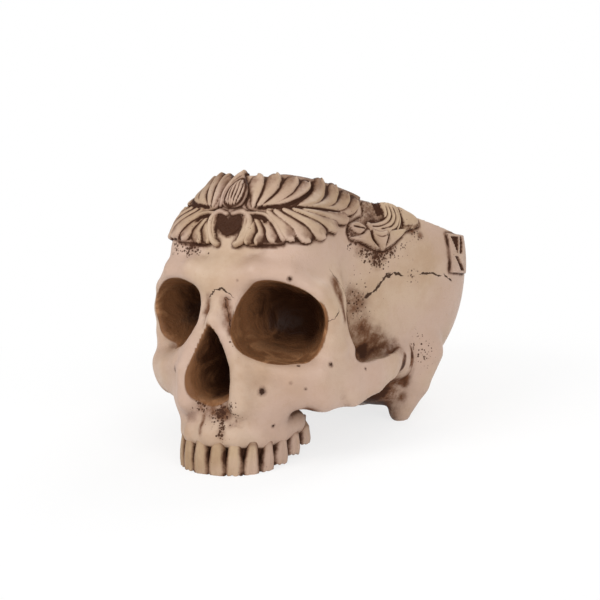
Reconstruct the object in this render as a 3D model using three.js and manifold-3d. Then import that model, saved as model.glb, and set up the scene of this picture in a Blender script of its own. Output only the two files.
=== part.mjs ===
import * as THREE from 'three';
import { LoftGeometry } from 'three/addons/geometries/LoftGeometry.js';
import { mergeVertices } from 'three/addons/utils/BufferGeometryUtils.js';
import Module from 'manifold-3d';

// A pot in the shape of a human skull without its lower jaw. The crown is cut away to leave an open
// bowl, and its rim carries a carved crest on the forehead, a rosette on each temple and a small
// plaque behind the left ear. The skull stands tilted back on its teeth and the back of its base.
//
// The bone is one blended form: ellipsoids and tapering limbs that flow into one another. It is
// skinned, hollowed and then parted along the sutures. The skull's own axes are x to its left,
// y to its back and z up, from a point midway between the ears. Each table below holds shares of
// faceWidth on those axes.

// Driving sizes in millimetres.
const faceWidth = 100; // across the outer rims of the eye sockets
const wallThickness = 6.5; // of the bowl
const seamGap = 0.3; // left at every suture and round every tooth root
const seatGap = 0.4; // between the skull and the relief laid on it
const seatDepth = 1.5; // that the relief's back is drawn into the skull before it is cut to fit
const finePitch = 4.7; // facet size on the face
const middlePitch = 7.8; // facet size beside the ears
const coarsePitch = 13; // facet size on the bowl
const standHeight = 37.2; // from the table up to the point between the ears
const crestRelief = 3.4; // of the leaves at the forehead
const flowerRelief = 5.2; // of the flower and the bud
const rosetteRelief = 3.8; // of the temple rosettes
const plaqueRelief = 1.6; // of the plaque
const recessDepth = 1.0; // of the cut-outs in the plaque
const edgeThickness = 1.1; // of the relief at its outline
const rootLength = 4.2; // of a tooth above the gum line

const standTilt = 12.5; // degrees that the skull leans back as it stands
const leafLobes = 9; // along the rim
const lowerLobes = 5; // along the foot of each large leaf
const fanLobes = 3; // of each small leaf
const toothSides = 10;
const bowlSides = 28;

// The braincase, from the crown down.
const vaultShares = [
  { centre: [0, 0.2, 0.46], reach: [0.64, 0.66, 0.71], blend: 0 },
  { centre: [0.3, 0.43, 0.46], reach: [0.37, 0.37, 0.6], blend: 0.24, paired: true },
  { centre: [0, -0.28, 0.54], reach: [0.43, 0.59, 0.52], blend: 0.28 },
  { centre: [0, 0.04, 0.14], reach: [0.56, 0.58, 0.38], blend: 0.14 },
  { centre: [0, 0.4, 0.1], reach: [0.5, 0.42, 0.44], blend: 0.12 },
];

// Forehead corners, brow, cheeks, nose, upper jaw, cheek arches and mastoids.
const faceShares = [
  { centre: [0.25, -0.62, 0.46], reach: [0.19, 0.24, 0.3], blend: 0.14, paired: true },
  {
    path: [[0.06, -0.86, 0.35], [0.18, -0.87, 0.39], [0.32, -0.82, 0.385], [0.43, -0.73, 0.3], [0.47, -0.68, 0.2]],
    radii: [0.07, 0.065, 0.062, 0.06, 0.056], blend: 0.08, paired: true,
  },
  { centre: [0, -0.82, 0.34], reach: [0.14, 0.12, 0.16], blend: 0.08 },
  {
    path: [[0.47, -0.67, 0.2], [0.47, -0.66, 0.08], [0.45, -0.65, -0.04]],
    radii: [0.054, 0.055, 0.065], blend: 0.07, paired: true,
  },
  {
    path: [[0.485, -0.59, 0.16], [0.5, -0.53, 0.04], [0.48, -0.52, -0.06]],
    radii: [0.034, 0.042, 0.06], blend: 0.06, paired: true,
  },
  {
    path: [[0.48, -0.64, 0.16], [0.49, -0.61, 0.04], [0.475, -0.6, -0.06]],
    radii: [0.04, 0.052, 0.065], blend: 0.07, paired: true,
  },
  { centre: [0.38, -0.6, 0.26], reach: [0.13, 0.13, 0.18], blend: 0.09, paired: true },
  { centre: [0.17, -0.66, 0], reach: [0.19, 0.2, 0.17], blend: 0.08, paired: true },
  { centre: [0, -0.76, 0.14], reach: [0.13, 0.14, 0.2], blend: 0.06 },
  { centre: [0.42, -0.64, -0.14], reach: [0.11, 0.1, 0.125], blend: 0.08 },
  { centre: [-0.425, -0.64, -0.12], reach: [0.105, 0.1, 0.1], blend: 0.08 },
  {
    path: [[0.44, -0.7, -0.08], [0.35, -0.78, -0.095], [0.23, -0.86, -0.06], [0.125, -0.89, 0.05]],
    radii: [0.065, 0.06, 0.055, 0.045], blend: 0.08, paired: true,
  },
  { centre: [0.165, -0.75, -0.2], reach: [0.155, 0.16, 0.19], blend: 0.11, paired: true },
  { centre: [0.32, -0.72, -0.14], reach: [0.12, 0.09, 0.11], blend: 0.1, paired: true },
  {
    path: [[0.085, -0.85, 0.28], [0.095, -0.905, 0.09], [0.155, -0.925, -0.09], [0.15, -0.91, -0.24]],
    radii: [0.046, 0.045, 0.055, 0.06], blend: 0.08, paired: true,
  },
  { path: [[0, -0.85, 0.32], [0, -0.9, 0.23], [0, -0.95, 0.155]], radii: [0.075, 0.054, 0.046], blend: 0.07 },
  {
    path: [[0, -0.905, -0.385], [0.115, -0.88, -0.385], [0.18, -0.805, -0.385], [0.22, -0.69, -0.365],
      [0.235, -0.56, -0.33]],
    radii: [0.055, 0.055, 0.058, 0.064, 0.066], blend: 0.06, paired: true,
  },
  { centre: [0, -0.66, -0.28], reach: [0.22, 0.24, 0.08], blend: 0.08 },
  { centre: [0.32, -0.51, 0.08], reach: [0.15, 0.18, 0.33], blend: 0.08, paired: true },
  { centre: [0, -0.84, -0.31], reach: [0.11, 0.085, 0.09], blend: 0.07 },
  { path: [[0.14, -0.5, -0.22], [0.15, -0.46, -0.34]], radii: [0.065, 0.05], blend: 0.06, paired: true },
  { centre: [0, -0.2, -0.12], reach: [0.24, 0.4, 0.14], blend: 0.08 },
  {
    path: [[0.46, -0.6, -0.14], [0.54, -0.5, -0.13], [0.59, -0.36, -0.1], [0.605, -0.22, -0.06], [0.59, -0.1, -0.02],
      [0.54, 0.02, 0]],
    radii: [0.11, 0.105, 0.09, 0.072, 0.062, 0.06], blend: 0.07, paired: true, slimness: 2.2,
  },
  { path: [[0.52, 0.26, 0.02], [0.52, 0.2, -0.14], [0.49, 0.155, -0.305]], radii: [0.145, 0.105, 0.058], blend: 0.09,
    paired: true },
  { centre: [0.49, 0, -0.02], reach: [0.12, 0.14, 0.12], blend: 0.06, paired: true },
];

// Eye sockets, nose opening and the hollow of the palate. A socket narrows from its mouth to its end.
const socketShares = [
  { mouth: [0.306, -0.83, 0.16], end: [0.215, -0.5, 0.165], reach: [0.208, 0.187], depth: 0.33, tip: 0.15,
    squareness: 2.8, roll: 11, drawIn: 0, blend: 0.025, paired: true },
  { mouth: [0, -1.01, -0.05], end: [0, -0.6, -0.09], reach: [0.114, 0.178], depth: 0.31, tip: 0.15,
    squareness: 2.1, roll: 0, drawIn: 0.56, blend: 0.02 },
];
const palateShare = { centre: [0, -0.66, -0.46], reach: [0.165, 0.24, 0.12], blend: 0.04 };
const limbBlendShare = 0.02; // where the stretches of one limb meet

// The rim, as height over distance back.
const rimShares = [[-1.1, 0.934], [-0.6, 0.852], [-0.2, 0.78], [0.1, 0.72], [0.35, 0.672], [0.55, 0.648], [1.1, 0.63]];

// The space that the skin is drawn in, and where its facets grow.
const spaceShare = { low: [-0.76, -1.14, -0.52], high: [0.76, 0.98, 1.26] };
const fineBackShare = -0.36;
const middleBackShare = 0.28;
const fineTopShare = 0.45;

// The bowl's inside, as heights from its floor to above the rim, round an upright axis.
const bowlAxisShare = [0, -0.02];
const bowlHeightShares = [-0.13, -0.06, 0.06, 0.22, 0.36, 0.47, 0.62, 0.8, 1.04];
const reliefAxisShare = -0.2; // the axis that the relief faces away from, as distance back

// Sutures. Front outlines are across and up, plan outlines across and back.
const cheekFrontShares = [[0.3, 0.02], [0.39, -0.4], [0.9, -0.4], [0.9, 0.2], [0.3, 0.2]];
const cheekPlanShares = [[0.26, -1.2], [0.9, -1.2], [0.9, -0.37], [0.55, -0.37], [0.5, -0.54], [0.43, -0.585], [0.26, -0.68]];
const jawFrontShares = [[-0.135, 0.27], [-0.3, 0.02], [-0.39, -0.4], [-0.39, -0.6], [0.39, -0.6], [0.39, -0.4],
  [0.3, 0.02], [0.135, 0.27]];
const jawPlanShares = [[-0.6, -1.2], [0.6, -1.2], [0.6, -0.52], [-0.6, -0.52]];
const jawFootFrontShares = [[-0.34, -0.26], [-0.39, -0.6], [0.39, -0.6], [0.34, -0.26]];
const jawFootPlanShares = [[-0.6, -1.2], [0.6, -1.2], [0.6, -0.4], [-0.6, -0.4]];
const noseFrontShares = [[-0.06, 0.285], [-0.09, 0.03], [0.09, 0.03], [0.06, 0.285]];
const nosePlanShares = [[-0.2, -1.2], [0.2, -1.2], [0.2, -0.86], [-0.2, -0.86]];
const regionReachShare = 1.4;

// Teeth of the left half from the midline: place across and back, width, thickness, gum and biting heights.
const toothShares = [
  { name: 'central_incisor', place: [0.0445, -0.926], size: [0.082, 0.072], gum: -0.425, edge: -0.59, front: 1 },
  { name: 'lateral_incisor', place: [0.124, -0.905], size: [0.076, 0.066], gum: -0.428, edge: -0.586, front: 1 },
  { name: 'canine', place: [0.185, -0.854], size: [0.072, 0.076], gum: -0.428, edge: -0.582, front: 0.7 },
  { name: 'first_premolar', place: [0.218, -0.782], size: [0.07, 0.086], gum: -0.422, edge: -0.563, front: 0 },
  { name: 'first_molar', place: [0.238, -0.698], size: [0.088, 0.092], gum: -0.404, edge: -0.53, front: 0 },
  { name: 'second_molar', place: [0.252, -0.604], size: [0.09, 0.096], gum: -0.384, edge: -0.49, front: 0 },
  { name: 'third_molar', place: [0.26, -0.51], size: [0.088, 0.092], gum: -0.36, edge: -0.445, front: 0 },
];
const toothFacing = [4, 18, 42, 66, 76, 82, 86]; // degrees that each tooth turns outwards
const crownRows = { down: [0, 0.35, 0.7, 1], width: [0.76, 0.92, 1.04, 0.98], rear: [0.9, 0.94, 0.94, 0.86],
  front: [0.9, 0.92, 0.72, 0.42] };
const rootWidthShare = 0.5;
const crownSquareness = 2.6;

// Relief. Angles in degrees run from the forehead's middle round to the left, heights are shares.
const leafShares = [
  { angle: 8.2, low: 0.705, high: 0.8 }, { angle: 12, low: 0.69, high: 0.845 }, { angle: 19, low: 0.668, high: 0.885 },
  { angle: 25.5, low: 0.58, high: 0.887 }, { angle: 31, low: 0.556, high: 0.884 }, { angle: 38, low: 0.57, high: 0.877 },
  { angle: 46, low: 0.607, high: 0.869 }, { angle: 56, low: 0.664, high: 0.856 }, { angle: 66, low: 0.731, high: 0.838 },
  { angle: 73.5, low: 0.772, high: 0.822 }, { angle: 77.5, low: 0.79, high: 0.808 },
];
const fanShares = [
  { angle: 11, low: 0.55, high: 0.65 }, { angle: 13, low: 0.52, high: 0.66 }, { angle: 16.5, low: 0.513, high: 0.653 },
  { angle: 20, low: 0.523, high: 0.625 }, { angle: 23.6, low: 0.552, high: 0.585 },
];
const flowerShares = [
  { angle: -10, low: 0.59, high: 0.655 }, { angle: -8, low: 0.545, high: 0.685 }, { angle: -5.5, low: 0.515, high: 0.693 },
  { angle: -2.5, low: 0.52, high: 0.685 }, { angle: 0, low: 0.56, high: 0.675 }, { angle: 2.5, low: 0.52, high: 0.685 },
  { angle: 5.5, low: 0.515, high: 0.693 }, { angle: 8, low: 0.545, high: 0.685 }, { angle: 10, low: 0.59, high: 0.655 },
];
const flowerHollowShares = [0, 0.625, 5.2, 0.05];
const budShares = [
  { height: 0.712, half: 2 }, { height: 0.73, half: 5 }, { height: 0.765, half: 6.8 }, { height: 0.81, half: 6.6 },
  { height: 0.85, half: 4.6 }, { height: 0.885, half: 2 }, { height: 0.902, half: 0.7 },
];
const rosetteShares = [
  { angle: 60, low: 0.615, high: 0.645 }, { angle: 65, low: 0.59, high: 0.66 }, { angle: 69, low: 0.582, high: 0.668 },
  { angle: 74, low: 0.562, high: 0.68 }, { angle: 78, low: 0.55, high: 0.72 }, { angle: 82.5, low: 0.535, high: 0.78 },
  { angle: 86.5, low: 0.555, high: 0.787 }, { angle: 91, low: 0.595, high: 0.787 }, { angle: 95, low: 0.632, high: 0.782 },
  { angle: 99, low: 0.65, high: 0.77 }, { angle: 103, low: 0.645, high: 0.758 }, { angle: 108, low: 0.66, high: 0.745 },
  { angle: 112, low: 0.695, high: 0.725 },
];
const plaqueShare = { from: 125.5, to: 136, low: 0.45, high: 0.66 };
const plaqueCutShares = [
  [[0.12, 0.92], [0.5, 0.92], [0.34, 0.5]],
  [[0.62, 0.94], [0.78, 0.94], [0.62, 0.5], [0.46, 0.5]],
  [[0.2, 0.42], [0.36, 0.42], [0.74, 0.08], [0.52, 0.08]],
];

// Colours of the painted resin.
const boneColour = 0xc9ab87;
const cheekColour = 0xcbb08e;
const jawColour = 0xc4a582;
const toothColour = 0xb5946b;
const crestColour = 0xb9966f;
const flowerColour = 0xb08c68;

const wasm = await Module();
wasm.setup();

// Blending of distances: where two forms come within the blend of each other they flow together.
function join(a, b, blend) {
  if (blend <= 0) return Math.min(a, b);
  const near = Math.max(blend - Math.abs(a - b), 0) / blend;
  return Math.min(a, b) - near * near * near * blend / 6;
}

function carve(a, b, blend) {
  return -join(-a, b, blend);
}

const sized = (shares) => shares.map((share) => share * faceWidth);

// Distance from an ellipsoid.
function ellipsoid({ centre, reach }) {
  const [cx, cy, cz] = sized(centre);
  const [rx, ry, rz] = sized(reach);
  return (x, y, z) => {
    const near = Math.hypot((x - cx) / rx, (y - cy) / ry, (z - cz) / rz);
    const steep = Math.hypot((x - cx) / (rx * rx), (y - cy) / (ry * ry), (z - cz) / (rz * rz));
    return steep > 0 ? near * (near - 1) / steep : -Math.min(rx, ry, rz);
  };
}

// Distance from a bar that bends through the points of its path and tapers with its radii.
// A slimness over one narrows it from side to side.
function limb({ path, radii, slimness = 1 }) {
  const points = path.map(sized);
  const girths = sized(radii);
  const softness = limbBlendShare * faceWidth;
  return (x, y, z) => {
    let distance = Infinity;
    for (let i = 0; i + 1 < points.length; i += 1) {
      const [ax, ay, az] = points[i];
      const [dx, dy, dz] = points[i + 1].map((value, axis) => value - points[i][axis]);
      const along = ((x - ax) * dx + (y - ay) * dy + (z - az) * dz) / (dx * dx + dy * dy + dz * dz);
      const t = THREE.MathUtils.clamp(along, 0, 1);
      const out = Math.hypot((x - ax - t * dx) * slimness, y - ay - t * dy, z - az - t * dz);
      const stretch = (out - THREE.MathUtils.lerp(girths[i], girths[i + 1], t)) / (0.5 + slimness / 2);
      distance = i === 0 ? stretch : join(distance, stretch, softness);
    }
    return distance;
  };
}

// Distance from the space inside a socket, whose mouth is a rounded square.
function socket({ mouth, end, reach, depth, tip, squareness, roll, drawIn }) {
  const start = new THREE.Vector3(...sized(mouth));
  const inward = new THREE.Vector3(...sized(end)).sub(start).normalize();
  const side = new THREE.Vector3(0, 0, 1).cross(inward).normalize();
  const up = inward.clone().cross(side);
  const turn = THREE.MathUtils.degToRad(roll);
  const across = side.clone().multiplyScalar(Math.cos(turn)).addScaledVector(up, Math.sin(turn));
  const upward = up.clone().multiplyScalar(Math.cos(turn)).addScaledVector(side, -Math.sin(turn));
  const [halfWidth, halfHeight] = sized(reach);
  const length = depth * faceWidth;
  const from = new THREE.Vector3();
  return (x, y, z) => {
    from.set(x, y, z).sub(start);
    const far = from.dot(inward);
    const t = THREE.MathUtils.clamp(far / length, -1, 1);
    const size = t > 0 ? Math.sqrt(Math.max(1 - t * t * (1 - tip * tip), tip * tip)) : 1 - 0.22 * t;
    const height = from.dot(upward) / halfHeight;
    const narrowing = 1 - drawIn * THREE.MathUtils.clamp(height, -1, 1);
    const a = Math.abs(from.dot(across)) / (halfWidth * size * narrowing);
    const b = Math.abs(height) / size;
    const out = (a ** squareness + b ** squareness) ** (1 / squareness);
    return Math.max((out - 1) * Math.min(halfWidth, halfHeight) * size, far - length);
  };
}

const bones = [...vaultShares, ...faceShares].map((share) => ({
  distance: share.path ? limb(share) : ellipsoid(share),
  blend: share.blend * faceWidth,
  paired: share.paired,
}));
const sockets = socketShares.map((share) => ({
  distance: socket(share),
  blend: share.blend * faceWidth,
  paired: share.paired,
}));
const palate = ellipsoid(palateShare);

// Distance from the outer surface of bones that flow together.
function joined(forms, x, y, z) {
  let distance = Infinity;
  for (const form of forms) {
    distance = distance === Infinity ? form.distance(x, y, z) : join(distance, form.distance(x, y, z), form.blend);
    if (form.paired) distance = join(distance, form.distance(-x, y, z), form.blend);
  }
  return distance;
}

// Distance from the braincase, from the whole skull, and from the skull with its sockets taken out.
const braincase = (x, y, z) => joined(bones.slice(0, vaultShares.length), x, y, z);
const outside = (x, y, z) => joined(bones, x, y, z);

function skull(x, y, z) {
  let distance = outside(x, y, z);
  for (const pocket of sockets) {
    distance = carve(distance, pocket.distance(x, y, z), pocket.blend);
    if (pocket.paired) distance = carve(distance, pocket.distance(-x, y, z), pocket.blend);
  }
  return carve(distance, palate(x, y, z), palateShare.blend * faceWidth);
}

// Lines that part a length into steps. Each stretch has its own pitch up to its end, and past them all the
// steps are coarse.
function gridLines(from, to, stretches) {
  const lines = [from];
  while (lines.at(-1) < to) {
    const stretch = stretches.find(({ end }) => lines.at(-1) < end);
    lines.push(lines.at(-1) + (stretch ? stretch.pitch : coarsePitch));
  }
  return lines;
}

// Where inside and outside alternate round a face of the grid, two sheets of the skin would meet in one
// edge. One of the outside corners is filled instead.
function fillAlternating(values, [nx, ny, nz]) {
  const strides = [ny * nz, nz, 1];
  const counts = [nx, ny, nz];
  let filled = true;
  while (filled) {
    filled = false;
    for (let start = 0; start < values.length; start += 1) {
      for (let axis = 0; axis < 3; axis += 1) {
        const [u, v] = [(axis + 1) % 3, (axis + 2) % 3];
        const atEnd = [u, v].some((other) => Math.floor(start / strides[other]) % counts[other] === counts[other] - 1);
        if (atEnd) continue;
        const corners = [start, start + strides[u], start + strides[u] + strides[v], start + strides[v]];
        const inside = corners.map((corner) => values[corner] < 0);
        if (inside[0] !== inside[2] || inside[1] !== inside[3] || inside[0] === inside[1]) continue;
        const [a, b] = corners.filter((corner, i) => !inside[i]);
        values[values[a] < values[b] ? a : b] = -finePitch / 50;
        filled = true;
      }
    }
  }
}

// Skins a form: one point in each cell that its surface crosses, joined across every crossed edge.
function skin(form) {
  const low = sized(spaceShare.low);
  const high = sized(spaceShare.high);
  const lines = [
    gridLines(low[0], high[0], [{ end: high[0], pitch: finePitch }]),
    gridLines(low[1], high[1], [
      { end: fineBackShare * faceWidth, pitch: finePitch },
      { end: middleBackShare * faceWidth, pitch: middlePitch },
    ]),
    gridLines(low[2], high[2], [{ end: fineTopShare * faceWidth, pitch: finePitch }]),
  ];
  const [nx, ny, nz] = lines.map((line) => line.length);
  const key = (i, j, k) => (i * ny + j) * nz + k;
  const values = new Float64Array(nx * ny * nz);
  for (let i = 0; i < nx; i += 1) {
    for (let j = 0; j < ny; j += 1) {
      for (let k = 0; k < nz; k += 1) values[key(i, j, k)] = form(lines[0][i], lines[1][j], lines[2][k]);
    }
  }
  fillAlternating(values, [nx, ny, nz]);
  const positions = [];
  const cellPoint = new Map();
  const corner = (i, j, k) => [lines[0][i], lines[1][j], lines[2][k]];
  const addPoint = (i, j, k) => {
    const sum = [0, 0, 0];
    let count = 0;
    for (let axis = 0; axis < 3; axis += 1) {
      for (let near = 0; near < 4; near += 1) {
        const start = [i, j, k];
        start[(axis + 1) % 3] += near % 2;
        start[(axis + 2) % 3] += near >> 1;
        const finish = [...start];
        finish[axis] += 1;
        const a = values[key(...start)];
        const b = values[key(...finish)];
        if (a < 0 === b < 0) continue;
        const t = a / (a - b);
        const p = corner(...start);
        const q = corner(...finish);
        for (let n = 0; n < 3; n += 1) sum[n] += THREE.MathUtils.lerp(p[n], q[n], t);
        count += 1;
      }
    }
    if (count === 0) return;
    cellPoint.set(key(i, j, k), positions.length / 3);
    positions.push(sum[0] / count, sum[1] / count, sum[2] / count);
  };
  for (let i = 0; i + 1 < nx; i += 1) {
    for (let j = 0; j + 1 < ny; j += 1) {
      for (let k = 0; k + 1 < nz; k += 1) addPoint(i, j, k);
    }
  }
  const index = [];
  const gapSquared = (a, b) => (positions[3 * a] - positions[3 * b]) ** 2
    + (positions[3 * a + 1] - positions[3 * b + 1]) ** 2 + (positions[3 * a + 2] - positions[3 * b + 2]) ** 2;
  const addQuad = (quad) => {
    const [a, b, c, d] = quad;
    if (gapSquared(a, c) <= gapSquared(b, d)) index.push(a, b, c, a, c, d);
    else index.push(a, b, d, b, c, d);
  };
  for (let axis = 0; axis < 3; axis += 1) {
    const u = (axis + 1) % 3;
    const v = (axis + 2) % 3;
    for (let i = 1; i + 1 < nx; i += 1) {
      for (let j = 1; j + 1 < ny; j += 1) {
        for (let k = 1; k + 1 < nz; k += 1) {
          const here = [i, j, k];
          const next = [...here];
          next[axis] += 1;
          const inHere = values[key(...here)] < 0;
          if (inHere === values[key(...next)] < 0) continue;
          const quad = [[-1, -1], [0, -1], [0, 0], [-1, 0]].map(([du, dv]) => {
            const cell = [...here];
            cell[u] += du;
            cell[v] += dv;
            return cellPoint.get(key(...cell));
          });
          addQuad(inHere ? quad : quad.reverse());
        }
      }
    }
  }
  const geometry = new THREE.BufferGeometry();
  geometry.setAttribute('position', new THREE.Float32BufferAttribute(positions, 3));
  geometry.setIndex(index);
  return geometry;
}

// A closed geometry as a solid, and a solid as a geometry.
function solidOf(source) {
  const geometry = new THREE.BufferGeometry();
  geometry.setAttribute('position', source.attributes.position.clone());
  geometry.setIndex(source.index);
  const merged = mergeVertices(geometry, seamGap / 300);
  return new wasm.Manifold(new wasm.Mesh({
    numProp: 3,
    vertProperties: new Float32Array(merged.attributes.position.array),
    triVerts: new Uint32Array(merged.index.array),
  }));
}

function geometryOf(solid) {
  const mesh = solid.getMesh();
  const geometry = new THREE.BufferGeometry();
  geometry.setAttribute('position', new THREE.Float32BufferAttribute(mesh.vertProperties, 3));
  geometry.setIndex(new THREE.Uint32BufferAttribute(mesh.triVerts, 1));
  return geometry;
}

// The largest body of a cut, without the chips that a seam leaves beside it.
function mainBody(solid) {
  const bodies = solid.decompose();
  return bodies.reduce((best, body) => (body.volume() > best.volume() ? body : best));
}

// How far inside the wall's inner face a point is, behind the braincase and the sockets alike.
const wallRoom = (x, y, z) => -wallThickness - Math.max(braincase(x, y, z), skull(x, y, z));

// The bowl's inside: level sections, each as far out as the wall allows.
function bowlInside() {
  const axis = sized(bowlAxisShare);
  const step = finePitch / 8;
  const sections = bowlHeightShares.map((share) => {
    const height = share * faceWidth;
    const section = [];
    for (let i = 0; i < bowlSides; i += 1) {
      const angle = 2 * Math.PI * i / bowlSides;
      const across = Math.sin(angle);
      const back = -Math.cos(angle);
      let reach = 0;
      while (wallRoom(axis[0] + reach * across, axis[1] + reach * back, height) > 0) reach += step;
      section.push(new THREE.Vector3(axis[0] + reach * across, axis[1] + reach * back, height));
    }
    return section;
  });
  return new LoftGeometry(sections, { capStart: true, capEnd: true });
}

// What the rim cuts off: everything over a curve from front to back.
function overRim() {
  const curve = new THREE.SplineCurve(rimShares.map((share) => new THREE.Vector2(...sized(share))));
  const outline = curve.getPoints(16);
  const reach = regionReachShare * faceWidth;
  outline.push(new THREE.Vector2(outline.at(-1).x, reach * 1.5), new THREE.Vector2(outline[0].x, reach * 1.5));
  const geometry = new THREE.ExtrudeGeometry(new THREE.Shape(outline), { depth: 2 * reach, bevelEnabled: false });
  geometry.translate(0, 0, -reach);
  geometry.applyMatrix4(new THREE.Matrix4().makeBasis(
    new THREE.Vector3(0, 1, 0), new THREE.Vector3(0, 0, 1), new THREE.Vector3(1, 0, 0)));
  return geometry;
}

// An outline with every edge moved outwards.
function grown(points, amount) {
  const turnsLeft = THREE.ShapeUtils.area(points) > 0;
  const edges = points.map((point, i) => {
    const next = points[(i + 1) % points.length];
    const along = next.clone().sub(point).normalize();
    const out = new THREE.Vector2(along.y, -along.x).multiplyScalar(turnsLeft ? amount : -amount);
    return { start: point.clone().add(out), along };
  });
  return edges.map((edge, i) => {
    const before = edges[(i + edges.length - 1) % edges.length];
    const apart = edge.start.clone().sub(before.start);
    const t = apart.cross(edge.along) / before.along.cross(edge.along);
    return before.start.clone().addScaledVector(before.along, t);
  });
}

// The space of one bone: a front outline drawn back, within a plan outline drawn upwards.
function boneSpace(frontShares, planShares, growth) {
  const reach = regionReachShare * faceWidth;
  const outlineOf = (shares) => grown(shares.map((share) => new THREE.Vector2(...sized(share))), growth);
  const prism = (shares) => new THREE.ExtrudeGeometry(new THREE.Shape(outlineOf(shares)),
    { depth: 2 * reach, bevelEnabled: false }).translate(0, 0, -reach);
  const front = prism(frontShares).rotateX(Math.PI / 2);
  const plan = prism(planShares);
  return solidOf(front).intersect(solidOf(plan));
}

const mirrored = (shares) => shares.map(([across, other]) => [-across, other]);

// One tooth: rounded sections from its root down to its biting edge. Growth makes the hole it sits in.
function toothGeometry(share, facing, side, growth) {
  const [width, thickness] = sized(share.size);
  const gum = share.gum * faceWidth;
  const edge = share.edge * faceWidth;
  const angle = THREE.MathUtils.degToRad(facing);
  const out = new THREE.Vector2(side * Math.sin(angle), -Math.cos(angle));
  const along = new THREE.Vector2(-out.y, out.x);
  const [across, back] = sized(share.place);
  const rows = crownRows.down.map((down, i) => ({
    height: THREE.MathUtils.lerp(gum, edge, down) - (i === crownRows.down.length - 1 ? growth : 0),
    halfWidth: width * crownRows.width[i] / 2 + growth,
    halfDepth: thickness * THREE.MathUtils.lerp(crownRows.rear[i], crownRows.front[i], share.front) / 2 + growth,
  }));
  rows.unshift({
    height: gum + rootLength + growth,
    halfWidth: width * rootWidthShare / 2 + growth,
    halfDepth: thickness * rootWidthShare / 2 + growth,
  });
  const sections = rows.map(({ height, halfWidth, halfDepth }) => {
    const section = [];
    for (let i = 0; i < toothSides; i += 1) {
      const turn = 2 * Math.PI * i / toothSides;
      const a = halfWidth * Math.sign(Math.cos(turn)) * Math.abs(Math.cos(turn)) ** (2 / crownSquareness);
      const b = halfDepth * Math.sign(Math.sin(turn)) * Math.abs(Math.sin(turn)) ** (2 / crownSquareness);
      section.push(new THREE.Vector3(
        side * across + a * along.x + b * out.x, back + a * along.y + b * out.y, height));
    }
    return section;
  });
  return new LoftGeometry(sections, { capStart: true, capEnd: true });
}

const skullSkin = new THREE.Mesh(skin(skull), new THREE.MeshBasicMaterial({ side: THREE.DoubleSide }));
const seatSkin = solidOf(skin((x, y, z) => outside(x, y, z) - seatGap));
const caster = new THREE.Raycaster();

// A point over the skull, lifted off its surface, for an angle round the relief's axis and a height.
function overSkull(angle, height, lift) {
  const turn = THREE.MathUtils.degToRad(angle);
  const inward = new THREE.Vector3(-Math.sin(turn), Math.cos(turn), 0);
  const start = new THREE.Vector3(0, reliefAxisShare * faceWidth, height);
  caster.set(start.addScaledVector(inward, -regionReachShare * faceWidth), inward);
  const { point } = caster.intersectObject(skullSkin, false)[0];
  const step = finePitch / 4;
  const slope = new THREE.Vector3(
    outside(point.x + step, point.y, point.z) - outside(point.x - step, point.y, point.z),
    outside(point.x, point.y + step, point.z) - outside(point.x, point.y - step, point.z),
    outside(point.x, point.y, point.z + step) - outside(point.x, point.y, point.z - step),
  );
  return point.addScaledVector(slope.normalize(), lift);
}

// A relief laid on the skull: a closed ring of points for each row, over the surface and back under it,
// with its back cut to fit the facets that it lies on.
function relief(rows, columns, place, lift, side) {
  const sections = [];
  for (let i = 0; i <= rows; i += 1) {
    const over = [];
    const under = [];
    for (let j = 0; j <= columns; j += 1) {
      const { angle, height } = place(i / rows, j / columns);
      over.push(overSkull(side * angle, height, seatGap + lift(i / rows, j / columns)));
      under.unshift(overSkull(side * angle, height, -seatDepth));
    }
    sections.push([...over, ...under]);
  }
  if (side > 0) sections.forEach((section) => section.reverse());
  return mainBody(solidOf(new LoftGeometry(sections, { capStart: true, capEnd: true })).subtract(seatSkin));
}

// A smooth reading of a table's column at a share of the way along it.
function along(table, name, t) {
  const points = table.map((row, i) => new THREE.Vector2(i, row[name]));
  return new THREE.SplineCurve(points).getPoint(t).y;
}

const scallop = (lobes, t) => Math.abs(Math.sin(Math.PI * lobes * t));
const crown = (t) => Math.sqrt(Math.max(1 - (2 * t - 1) ** 2, 0));

function leafPlace(table, topLobes, footLobes, lobeShare) {
  return (s, t) => {
    const low = along(table, 'low', s) * faceWidth;
    const high = along(table, 'high', s) * faceWidth;
    const span = high - low;
    const top = high - span * lobeShare * (1 - scallop(topLobes, s));
    const foot = low + span * lobeShare * (1 - scallop(footLobes, s));
    return { angle: along(table, 'angle', s), height: THREE.MathUtils.lerp(foot, top, t) };
  };
}

// Ribs fan out from a midrib and end at the lobes.
function ribbed(height, lobes, midrib) {
  return (s, t) => {
    const lean = Math.abs(t - midrib) * 0.5;
    const rib = scallop(lobes, THREE.MathUtils.clamp(s - lean / lobes, 0, 1));
    const vein = Math.min(Math.abs(t - midrib) * 5, 1);
    return edgeThickness + (height - edgeThickness) * crown(t) * (0.55 + 0.45 * rib) * (0.6 + 0.4 * vein);
  };
}

// A petalled cup: a raised rim round a hollow.
function cupped(height, place, [angle, level, halfAngle, halfHeight]) {
  return (s, t) => {
    const at = place(s, t);
    const out = Math.hypot((at.angle - angle) / halfAngle, (at.height / faceWidth - level) / halfHeight);
    const bank = THREE.MathUtils.smoothstep(out, 0.7, 1.1);
    return edgeThickness + (height - edgeThickness) * bank * (0.35 + 0.65 * crown(t) * crown(s));
  };
}

// A bud, full in the middle.
function budded(height) {
  return (s, t) => edgeThickness + (height - edgeThickness) * crown(t) * (0.4 + 0.6 * crown(s));
}

function budPlace(s, t) {
  const half = along(budShares, 'half', s);
  return { angle: THREE.MathUtils.lerp(half, -half, t), height: along(budShares, 'height', s) * faceWidth };
}

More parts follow.
